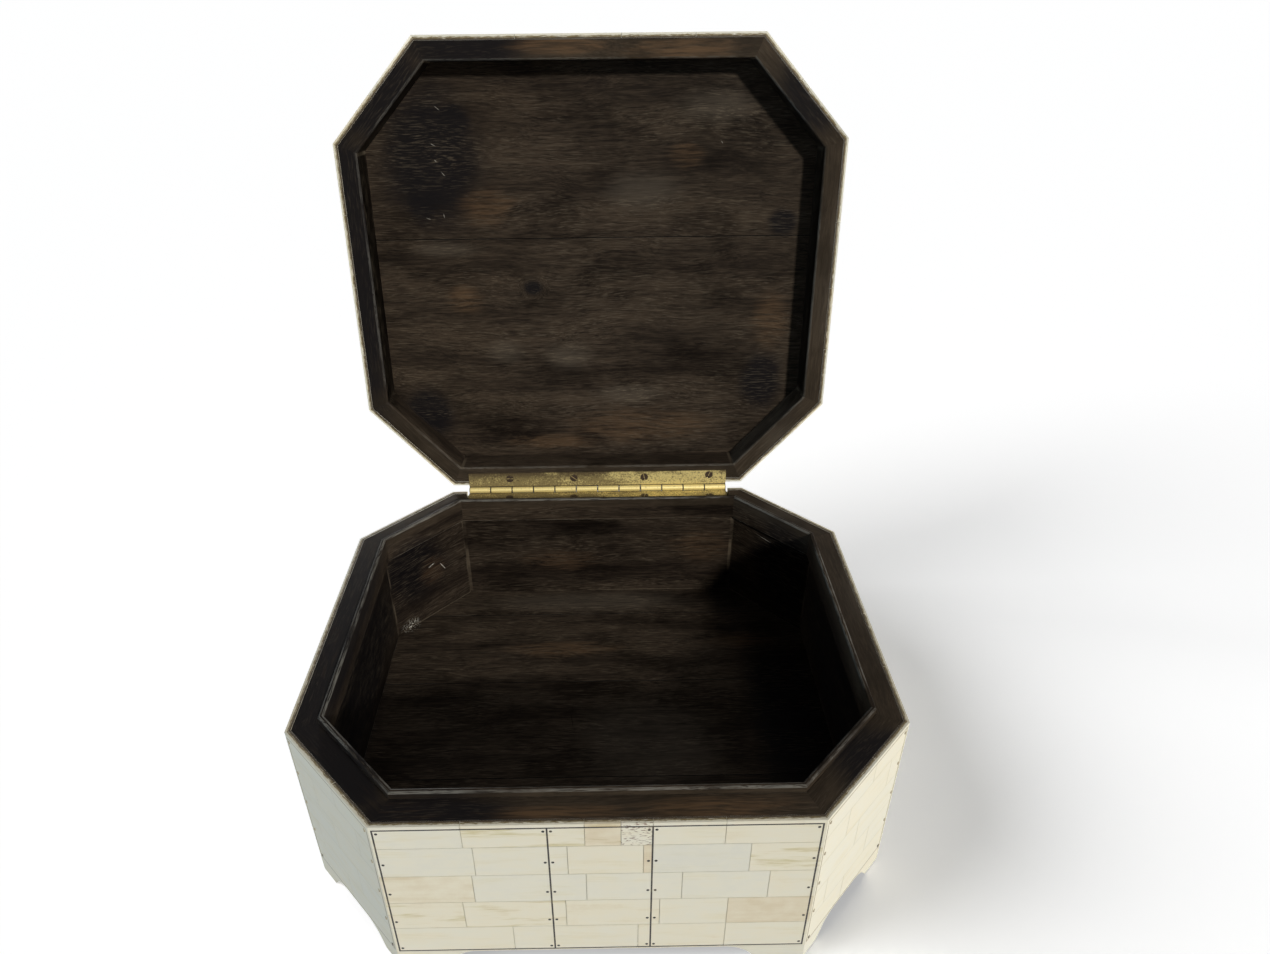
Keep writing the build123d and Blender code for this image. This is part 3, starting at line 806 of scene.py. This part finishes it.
TONE_SPREAD = 0.8  # how much the tiles of a side differ in tone
QUIET_SIDES = ("bone_front_left", "bone_front_right")
QUIET_SPREAD = 0.2  # how much they differ on these two

# Shades that darken the tiles.
STREAK_SHADE = linear(226, 221, 192)
JOINT_SHADE = linear(150, 142, 126)
PIT_SHADE = linear(150, 128, 120)


def lay_tiles(mesh, node):
    """Stores on each vertex its place in its tile, in millimetres, and its tile's size and tone.

    The third number of the place is the depth below the outer face, which shows only on the rims.
    """
    tiles = []
    for group, points in islands(mesh, node):
        axes = tile_frame(node, middle_of(points))
        own = [Vector([point.dot(axis) for axis in axes]) / MM for point in points]
        low, high = reach_of(own)
        tiles.append((round(low.y), low.x, group, own, low, high))
    tiles.sort(key=lambda one: one[:2])
    courses = sorted({one[0] for one in tiles})
    chance = random.Random(node)
    places, sizes, tones = ([None] * len(mesh.vertices) for _ in range(3))
    count = {}
    for level, _, group, own, low, high in tiles:
        course = courses.index(level)
        key = (course, count.get(course, 0))
        count[course] = key[1] + 1
        spread = QUIET_SPREAD if node in QUIET_SIDES else TONE_SPREAD
        tone = MIDDLE_TONE + spread * (chance.betavariate(*TONE_CURVE) - TONE_MEAN)
        seed = chance.uniform(0, 50)
        kind = 0.0
        if node == "bone_front":
            tone = FRONT_TONES[key]
            kind = float(key == POROUS_TILE) - float(key in STREAKY_TILES)
        for k, point in zip(group, own):
            depth = 0.0 if node == "lid_bone_top" else high.z - point.z
            places[k] = (point.x - low.x, point.y - low.y, depth)
            sizes[k] = high - low
            tones[k] = (tone, seed, kind)
    write_vectors(mesh, "tile", places)
    write_vectors(mesh, "tile_size", sizes)
    write_vectors(mesh, "tile_tone", tones)


def polished_bone(look):
    """Bone tiles: a tone for each tile, soft streaks along it, fine pores and darkened joints."""
    f = Finish("bone tiles")
    tile, size, tones = f.attribute("tile"), f.attribute("tile_size"), f.attribute("tile_tone")
    u, v, depth = f.parts(tile)
    length, width, _ = f.parts(size)
    tone, seed, kind = f.parts(tones)
    porous, streaky = kind.at_least(0.0), (0.0 - kind).at_least(0.0)
    along = f.push(tile, f.add("ShaderNodeCombineXYZ", None, {0: seed * 7, 1: seed * 3, 2: seed}))

    streak = f.noise(f.stretch(along, (0.020, 0.16, 0.16)), 1.0, 3.0, 0.55)
    lines = f.noise(f.stretch(along, (0.06, 1.1, 1.1)), 1.0, 3.0, 0.6)
    mottle = f.noise(f.stretch(along, (0.10, 0.12, 0.12), (5, 9, 2)), 1.0, 3.0, 0.6)
    grain = f.noise(f.stretch(along, (0.9, 4.0, 4.0)), 1.0, 2.0)

    shade = tone + 0.45 * (streak - 0.5) + 0.5 * (mottle - 0.5) + 0.10 * (lines - 0.5)
    colour = f.add("ShaderNodeValToRGB", {"stops": [
        (0.0, look.grey), (0.35, look.ivory), (0.65, look.cream), (1.0, look.tan),
    ]}, {0: shade})
    stain = f.fade(streak, 0.50, 0.66) * f.fade(lines, 0.35, 0.6)
    colour = f.darken(colour, stain * (0.18 + 0.75 * streaky), STREAK_SHADE)

    edge = u.at_most(length - u).at_most(v.at_most(width - v))
    uneven = f.noise(f.stretch(along, (0.25, 0.25, 0.25)), 1.0, 2.0)
    soft = f.fade(edge, 1.6, 0.2) * f.fade(uneven, 0.42, 0.62)
    joint = f.fade(edge, 0.42, 0.12)
    colour = f.darken(colour, (joint + 0.35 * soft) * look.joint, JOINT_SHADE)

    level = f.share("level")
    creep = f.noise(f.place(), 260.0, 4.0, 0.65)
    scrape = f.noise(f.stretch(along, (0.22, 3.5, 3.5)), 1.0, 2.0)
    depths = depth + 1.6 * (creep - 0.5)
    thin_stain = level * f.fade(depths, 1.0, 1.6) * f.fade(scrape, 0.66, 0.52)
    colour = f.mix(thin_stain, colour, look.olive)
    colour = f.mix(level * f.fade(depths, 1.7, 2.9) * 0.95, colour, look.rim)

    pits = f.noise(f.stretch(along, (0.42, 1.2, 1.2)), 1.0, 1.0)
    pit = f.fade(pits, 0.55, 0.66) * porous
    colour = f.darken(colour, pit * 0.8, PIT_SHADE)
    height = 0.25 * grain + 0.35 * lines - 1.5 * pit - 0.5 * joint
    return f.surface({
        "Base Color": colour,
        "Roughness": look.roughness + 0.12 * (mottle - 0.5) + 0.2 * pit,
        "Normal": f.bump(height, 0.08 * MM, 0.4),
        "Specular IOR Level": 0.28,
    })


class CHEST_OT_bone(bpy.types.Operator):
    """Lays the bone tiles of the box, the lid and the feet"""

    bl_idname = "chest.bone"
    bl_label = "Bone tiles"

    def execute(self, context):
        look = context.scene.chest_bone
        material = polished_bone(look)
        for node in nodes_in("bone"):
            name = f"{node}_tiles"
            mesh = merged(node, name, mitred=node in ("foot_bone", "lid_bone_edges"))
            piece = eased(mesh, name, node, look.edge, segments=1)
            lay_tiles(piece.data, node)
            mark_faces(piece.data, node)
            dress(piece, node, material)
        return {"FINISHED"}


# ---- Inlay ----
class ChestInlay(bpy.types.PropertyGroup):
    lac: colour_setting("Lac", "Colour of the black filling", 34, 31, 30)
    faded: colour_setting("Faded", "Colour of the filling where it has worn away", 182, 172, 146)
    sides: IntProperty(name="Peg sides", description="Sides of a peg", min=6, max=32, default=14)


# How far the filling has worn away on a side, 0 not at all and 1 wholly, and elsewhere.
WORN_SIDES = {"front": 0.0, "front_right": 0.62, "front_left": 0.72, "right": 0.45, "left": 0.45}
WORN = 0.25
BOTTOM_LINE = 2.5 * CM  # a line lower than this keeps more of its filling
BOTTOM_WEAR = 0.4  # its wear as a share of its side's
BROWNED_LAC = linear(98, 88, 66)


def wear_at(point):
    """How far the filling at a point of the shut chest has worn away."""
    worn = WORN_SIDES.get(side_at(point), WORN)
    return worn * BOTTOM_WEAR if point.z < BOTTOM_LINE else worn


def black_lac(look):
    """Black filling, browner in places and worn away on some sides."""
    f = Finish("black lac")
    place = f.place()
    worn = f.share("worn")
    cloud = f.noise(place, 160.0, 3.0, 0.6)
    fine = f.noise(place, 900.0, 2.0)
    colour = f.mix(f.fade(cloud, 0.50, 0.70) * 0.8, look.lac, BROWNED_LAC)
    gone = f.fade(worn + 0.5 * (cloud - 0.5), 0.0, 1.0)
    colour = f.mix(gone, colour, look.faded)
    return f.surface({
        "Base Color": colour,
        "Roughness": 0.55 + 0.2 * (fine - 0.5),
        "Normal": f.bump(fine, 0.1 * MM, 0.5),
    })


def lay_filling(mesh, node):
    """Stores on each vertex of the lines how far the filling there has worn away."""
    layer = mesh.attributes.new("worn", "FLOAT", "POINT")
    for group, points in islands(mesh, node):
        worn = wear_at(middle_of(points))
        for k in group:
            layer.data[k].value = worn


def island_discs(node):
    """Place, direction, size and wear of the outer end of each round island of a node."""
    mesh = merged(node, "peg_source")
    back = shut_matrix(node).inverted()
    discs = []
    for _, points in islands(mesh, node):
        low, high = reach_of(points)
        middle, spans = (low + high) / 2, high - low
        upright = spans.z < min(spans.x, spans.y) * LOW
        out = Vector((0, 0, 1)) if upright else PLANES[side_at(middle)][0]
        depths = [(point - middle).dot(out) for point in points]
        face = middle + out * max(depths)
        radius = max((point - middle - out * depth).length for point, depth in zip(points, depths))
        size = (radius, radius, max(depths) - min(depths))
        discs.append((back @ face, back.to_3x3() @ out, size, wear_at(middle)))
    bpy.data.meshes.remove(mesh)
    return discs


class Recipe(Net):
    """A geometry node tree with named inputs, ended by real geometry with a material."""

    def __init__(self, name, inputs):
        tree = bpy.data.node_groups.new(name, "GeometryNodeTree")
        super().__init__(tree)
        self.keys = {}
        for label, kind in [("Geometry", "NodeSocketGeometry"), *inputs]:
            socket = tree.interface.new_socket(label, in_out="INPUT", socket_type=kind)
            self.keys[label] = socket.identifier
        tree.interface.new_socket("Geometry", in_out="OUTPUT", socket_type="NodeSocketGeometry")
        self.inputs = tree.nodes.new("NodeGroupInput")

    def given(self, label):
        """One of the tree's inputs."""
        return Wire(self, self.inputs.outputs[label])

    def end(self, geometry, material):
        """Makes instances real, gives them the material and ends the tree."""
        real = self.add("GeometryNodeRealizeInstances", None, {0: geometry})
        done = self.add("GeometryNodeSetMaterial", None, {"Geometry": real, "Material": material})
        self.add("NodeGroupOutput", None, {0: done})

    def make(self, points, name, values):
        """Runs the tree on an object of points and returns the plain result."""
        modifier = points.modifiers.new(name, "NODES")
        modifier.node_group = self.tree
        for label, value in values.items():
            modifier[self.keys[label]] = value
        return plain(points, name)


def point_object(name, discs):
    """An object of bare points, each with a direction, a size and its wear."""
    places, outs, sizes, wears = zip(*discs)
    mesh = bpy.data.meshes.new(name)
    mesh.from_pydata([tuple(place) for place in places], [], [])
    write_vectors(mesh, "out", outs)
    write_vectors(mesh, "size", sizes)
    mesh.attributes.new("worn", "FLOAT", "POINT").data.foreach_set("value", wears)
    return place_mesh(mesh, name)


def named(net, name):
    """A stored vector, in a geometry node tree."""
    settings = {"data_type": "FLOAT_VECTOR"}
    return net.add("GeometryNodeInputNamedAttribute", settings, {"Name": name})


def peg_recipe():
    """Round pegs, each sunk into its pit from the point at the middle of its outer end."""
    net = Recipe("pegs", [("Sides", "NodeSocketInt"), ("Material", "NodeSocketMaterial")])
    out, size = (named(net, name) for name in ("out", "size"))
    turn = net.add("FunctionNodeAlignRotationToVector", {"axis": "Z"}, {"Vector": out})
    peg = net.add("GeometryNodeMeshCylinder", None, {
        "Vertices": net.given("Sides"), "Radius": 1.0, "Depth": 1.0,
    })
    sunk = net.add("GeometryNodeTransform", None, {"Geometry": peg, "Translation": (0, 0, -0.5)})
    pegs = net.add("GeometryNodeInstanceOnPoints", None, {
        "Points": net.given("Geometry"), "Instance": sunk, "Rotation": turn, "Scale": size,
    })
    net.end(pegs, net.given("Material"))
    return net


class CHEST_OT_inlay(bpy.types.Operator):
    """Fills the lines and sets the pegs"""

    bl_idname = "chest.inlay"
    bl_label = "Inlay"

    def execute(self, context):
        look = context.scene.chest_inlay
        material = black_lac(look)
        for node in ("inlay_lines", "lid_inlay_lines"):
            lines = place_mesh(merged(node, f"{node}_filling"), f"{node}_filling")
            lay_filling(lines.data, node)
            dress(lines, node, material)
        recipe = peg_recipe()
        values = {"Sides": look.sides, "Material": material}
        for node in ("inlay_dots", "lid_inlay_dots"):
            points = point_object(f"{node}_points", island_discs(node))
            dress(recipe.make(points, f"{node}_pegs", values), node, material)
        return {"FINISHED"}


# ---- Hinge ----
class ChestHinge(bpy.types.PropertyGroup):
    brass: colour_setting("Brass", "Colour of the rubbed brass", 222, 204, 138)
    tarnish: colour_setting("Tarnish", "Colour of the dull brass", 124, 110, 72)
    grime: colour_setting(
        "Grime", "Colour of the dirt in the gaps and along the leaves", 60, 46, 32,
    )
    edge: edge_setting("Radius of the hinge's edges, none to leave them as they are", 0)
    knuckles: IntProperty(name="Knuckles", description="Knuckles of the hinge", min=2, default=12)


BARREL = HINGE_AT.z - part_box("hinge_box_leaf")[0].z  # radius of the barrel
LEAF_LOW, LEAF_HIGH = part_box("hinge_lid_leaf")
LEAF_REACH = LEAF_HIGH.z - HINGE_AT.z
HINGE_RUN = LEAF_HIGH.x - LEAF_LOW.x
# grime and painted shade in the gaps between the knuckles and the crease by the barrel
GAP_GRIME_AND_SHADE = linear(44, 34, 24)
SCREW_BROWN = linear(58, 45, 33)
SCREW_RING = linear(178, 160, 112)


def aged_brass(look):
    """Brass rubbed bright on the barrel, duller on the leaves, with grime and painted shade in the gaps and along
    the crease by the barrel.
    """
    f = Finish("aged brass")
    place = f.place()
    cloud = f.noise(f.stretch(place, (38, 110, 110)), 1.0, 5.0, 0.7)
    fine = f.noise(place, 700.0, 3.0, 0.7)
    scratch = f.noise(f.stretch(place, (140, 1800, 1800)), 1.0, 2.0)
    along, _, _ = f.parts(place)
    from_pin = f.length(f.stretch(place, (0, 1, 1), (0, -HINGE_AT.y, -HINGE_AT.z)))
    barrel = f.fade(from_pin, BARREL * 1.12, BARREL * 1.02)

    left = f.fade(along, 0.45 * HINGE_RUN, -0.30 * HINGE_RUN)
    dull = f.fade(cloud * 0.5 + fine * 0.5 + 0.12 * left, 0.42, 0.64) * (1.0 - 0.85 * barrel)
    colour = f.mix(dull, look.brass, look.tarnish)
    far = f.fade(from_pin, 0.55 * LEAF_REACH, LEAF_REACH)
    grimy = far * f.fade(cloud + 0.15 * left, 0.42, 0.60)
    colour = f.mix(grimy * 0.75, colour, look.grime)
    colour = f.mix(f.fade(fine, 0.56, 0.70) * (0.75 - 0.35 * barrel), colour, look.grime)
    pitch = HINGE_RUN / look.knuckles
    from_gap = along.math("PINGPONG", along + HINGE_RUN / 2, pitch / 2)
    gap = f.fade(from_gap, 0.75 * MM, 0.40 * MM) * barrel
    # Grime and painted shade: the gaps between the knuckles and the crease where the leaves leave the barrel are
    # darkened.
    crease = f.fade(from_pin, BARREL * 1.02, BARREL * 1.10)
    crease = crease * f.fade(from_pin, BARREL * 1.36, BARREL * 1.24)
    colour = f.mix(gap.at_least(crease * 0.9), colour, GAP_GRIME_AND_SHADE)
    return f.surface({
        "Base Color": colour,
        "Metallic": 0.65 - 0.4 * barrel,
        "Roughness": 0.42 + 0.2 * dull + 0.12 * (fine - 0.5),
        "Normal": f.bump(scratch * 0.4 + fine * 0.6 - gap * 2.0, 0.06 * MM, 0.5),
    })


def dark_brass(look):
    """The screws' brass, brown all over but for the rubbed rings round their heads."""
    f = Finish("tarnished brass")
    radial, _, _ = f.parts(f.attribute("head"))
    cloud = f.noise(f.place(), 520.0, 3.0, 0.6)
    fine = f.noise(f.place(), 1500.0, 2.0)
    ring = f.fade(radial, 0.54, 0.64) * f.fade(radial, 0.90, 0.80) * f.fade(cloud, 0.40, 0.50)
    colour = f.mix(ring, SCREW_BROWN, SCREW_RING)
    colour = f.mix(f.fade(cloud, 0.58, 0.72) * 0.4, colour, look.tarnish)
    return f.surface({
        "Base Color": colour,
        "Metallic": 0.5,
        "Roughness": 0.5 + 0.2 * (fine - 0.5),
        "Normal": f.bump(fine, 0.08 * MM, 0.5),
    })


def mark_heads(mesh, node):
    """Stores on each vertex of a screw how far off the axis it lies, as a share of the head."""
    values = [None] * len(mesh.vertices)
    for group, points in islands(mesh, node):
        middle = middle_of(points)
        reaches = [math.hypot(point.x - middle.x, point.y - middle.y) for point in points]
        for k, reach in zip(group, reaches):
            values[k] = (reach / max(reaches), 0.0, 0.0)
    write_vectors(mesh, "head", values)


class CHEST_OT_hinge(bpy.types.Operator):
    """Ages the hinge's leaves and pin and tarnishes its screws"""

    bl_idname = "chest.hinge"
    bl_label = "Hinge"

    def execute(self, context):
        look = context.scene.chest_hinge
        brass, screws = aged_brass(look), dark_brass(look)
        for node in (*nodes_in("aged_brass"), *nodes_in("hinge_screws")):
            piece = eased(merged(node, node), f"{node}_brass", node, look.edge)
            if "screws" in node:
                mark_heads(piece.data, node)
            dress(piece, node, screws if "screws" in node else brass)
        return {"FINISHED"}


# ---- Stage ----
FLOOR_RADIUS = 14.0
FLOOR_SIDES = 96
FLOOR_TINT = (0.90, 0.90, 0.90)  # the floor's colour to the camera
FLOOR_GLOW = 0.42  # the light of its own that it shows the camera
SKY = (0.93, 0.97, 1.0, 1)
WHITE = (1.0, 1.0, 1.0)
WARM = (1.0, 0.96, 0.88)
COOL = (0.62, 0.83, 1.0)
LAMP_AWAY = 2.0
SENSOR = 36.0
NEAREST = 1 * CM  # what lies nearer to the camera isn't seen


class ChestStage(bpy.types.PropertyGroup):
    """The floor, the camera and the lamps; the ground lamp lights the floor alone."""

    floor: FloatVectorProperty(
        name="Floor", description="Colour of the floor", subtype="COLOR", size=3, min=0, max=1,
        default=(0.15, 0.15, 0.15),
    )
    world: FloatProperty(name="World", description="Strength of the sky", min=0, default=0.06)
    key: lamp_light("Key", 0.82)
    key_turn: lamp_turn("Key", 22)
    key_rise: lamp_rise("Key", 26)
    fill: lamp_light("Fill", 0.44)
    fill_turn: lamp_turn("Fill", -76)
    fill_rise: lamp_rise("Fill", 1)
    side: lamp_light("Side", 0.54)
    side_turn: lamp_turn("Side", 80)
    side_rise: lamp_rise("Side", 2)
    top: lamp_light("Top", 0.17)
    top_turn: lamp_turn("Top", 75)
    top_rise: lamp_rise("Top", 58)
    back: lamp_light("Back", 0.42)
    back_turn: lamp_turn("Back", 195)
    back_rise: lamp_rise("Back", 4)
    ground: lamp_light("Ground", 0.95)
    ground_turn: lamp_turn("Ground", -84)
    ground_rise: lamp_rise("Ground", 38)
    lens: FloatProperty(
        name="Lens", description="Focal length", subtype="DISTANCE_CAMERA", default=25.181,
    )
    eye: FloatVectorProperty(
        name="Eye", description="Where the camera stands", subtype="TRANSLATION", size=3,
        default=(0.00657, -0.53006, 0.53595),
    )
    look: FloatVectorProperty(
        name="Look", description="How the camera is turned", subtype="EULER", size=3,
        default=(math.radians(56.885), math.radians(0.475), math.radians(-0.787)),
    )
    shift: FloatVectorProperty(
        name="Shift", description="The lens's shift", size=2, default=(0.0183, 0.0293),
    )


def seen_directly(net):
    """One for what the camera sees, straight or in a reflection or through glass."""
    rays = net.add("ShaderNodeLightPath").socket.node
    kinds = ("Is Camera Ray", "Is Glossy Ray", "Is Transmission Ray")
    camera, glossy, through = (Wire(net, rays.outputs[kind]) for kind in kinds)
    return (camera + glossy + through).at_most(1.0)


class CHEST_OT_stage(bpy.types.Operator):
    """Lays the floor, hangs the lights and sets up the camera"""

    bl_idname = "chest.stage"
    bl_label = "Stage"

    def execute(self, context):
        look = context.scene.chest_stage
        floor = self.lay_floor(look)
        self.light(context.scene, look, floor)
        self.point_camera(context.scene, look)
        return {"FINISHED"}

    def lay_floor(self, look):
        """A round floor that is pale to the camera and throws little light on the chest."""
        mesh = bpy.data.meshes.new("floor")
        work = bmesh.new()
        bmesh.ops.create_circle(work, cap_ends=True, segments=FLOOR_SIDES, radius=FLOOR_RADIUS)
        work.to_mesh(mesh)
        work.free()
        floor = place_mesh(mesh, "floor")
        f = Finish("floor paint")
        tint = f.mix(seen_directly(f), look.floor, FLOOR_TINT)
        lit = f.add("ShaderNodeBsdfDiffuse", None, {"Color": tint})
        glow = f.add("ShaderNodeEmission", None, {
            "Color": f.solid(WHITE), "Strength": seen_directly(f) * FLOOR_GLOW,
        })
        both = f.add("ShaderNodeAddShader", None, {0: lit, 1: glow})
        f.add("ShaderNodeOutputMaterial", None, {"Surface": both})
        mesh.materials.append(f.material)
        return floor

    def light(self, scene, look, floor):
        """The sky and the lamps, of which one lights the floor alone and the others all else."""
        world = bpy.data.worlds.new("studio")
        world.use_nodes = True
        net = Net(world.node_tree)
        net.tree.nodes.clear()
        sky = net.add("ShaderNodeBackground", None, {"Color": SKY, "Strength": look.world})
        backdrop = net.add("ShaderNodeBackground", None, {"Color": (1, 1, 1, 1), "Strength": 1.0})
        both = net.add("ShaderNodeMixShader", None, {0: seen_directly(net), 1: sky, 2: backdrop})
        net.add("ShaderNodeOutputWorld", None, {"Surface": both})
        scene.world = world

        apart, alone = (bpy.data.collections.new(name) for name in ("all but the floor", "floor"))
        for group, state in ((apart, "EXCLUDE"), (alone, "INCLUDE")):
            group.objects.link(floor)
            group.collection_objects[0].light_linking.link_state = state
        for name, colour, spread, lights in (
            ("key", WARM, 5, apart), ("fill", COOL, 10, apart), ("side", WARM, 10, apart),
            ("top", WHITE, 25, apart), ("back", WHITE, 10, apart), ("ground", WHITE, 40, alone),
        ):
            sun = self.hang_sun(scene, look, name, colour, spread)
            sun.light_linking.receiver_collection = lights

    def hang_sun(self, scene, look, name, colour, spread):
        """A lamp whose light falls evenly from one side; the spread, in degrees, softens it."""
        strength, turn, rise = (getattr(look, name + part) for part in ("", "_turn", "_rise"))
        lamp = bpy.data.lights.new(name, "SUN")
        lamp.energy = math.pi * strength
        lamp.color = colour
        lamp.angle = math.radians(spread)
        sun = bpy.data.objects.new(name, lamp)
        towards = Vector((
            math.sin(turn) * math.cos(rise), -math.cos(turn) * math.cos(rise), math.sin(rise),
        ))
        sun.location = towards * LAMP_AWAY
        sun.rotation_euler = (-towards).to_track_quat("-Z", "Y").to_euler()
        scene.collection.objects.link(sun)
        return sun

    def point_camera(self, scene, look):
        lens = bpy.data.cameras.new("camera")
        lens.sensor_fit = "HORIZONTAL"
        lens.sensor_width = SENSOR
        lens.lens = look.lens
        lens.shift_x, lens.shift_y = look.shift
        lens.clip_start = NEAREST
        camera = bpy.data.objects.new("camera", lens)
        camera.location = look.eye
        camera.rotation_euler = look.look
        scene.collection.objects.link(camera)
        scene.camera = camera
        scene.view_settings.view_transform = "Standard"


class CHEST_PT_panel(bpy.types.Panel):
    """Shows the button and the settings of each step of dressing the chest"""

    bl_label = "Dowry chest"
    bl_idname = "CHEST_PT_panel"
    bl_space_type = "VIEW_3D"
    bl_region_type = "UI"
    bl_category = "Chest"

    def draw(self, context):
        for operator, settings, _ in STEPS:
            box = self.layout.box()
            box.operator(operator.bl_idname)
            group = getattr(context.scene, settings)
            for name in group.bl_rna.properties.keys():
                if name not in ("rna_type", "name"):
                    box.prop(group, name)


STEPS = (
    (CHEST_OT_wood, "chest_wood", ChestWood),
    (CHEST_OT_bone, "chest_bone", ChestBone),
    (CHEST_OT_inlay, "chest_inlay", ChestInlay),
    (CHEST_OT_hinge, "chest_hinge", ChestHinge),
    (CHEST_OT_stage, "chest_stage", ChestStage),
)


def register():
    for operator, name, group in STEPS:
        bpy.utils.register_class(group)
        setattr(bpy.types.Scene, name, PointerProperty(type=group))
        bpy.utils.register_class(operator)
    bpy.utils.register_class(CHEST_PT_panel)


def unregister():
    bpy.utils.unregister_class(CHEST_PT_panel)
    for operator, name, group in reversed(STEPS):
        bpy.utils.unregister_class(operator)
        delattr(bpy.types.Scene, name)
        bpy.utils.unregister_class(group)


def main():
    register()
    for operator, _, _ in STEPS:
        family, action = operator.bl_idname.split(".")
        getattr(getattr(bpy.ops, family), action)()


if __name__ == "__main__":
    main()
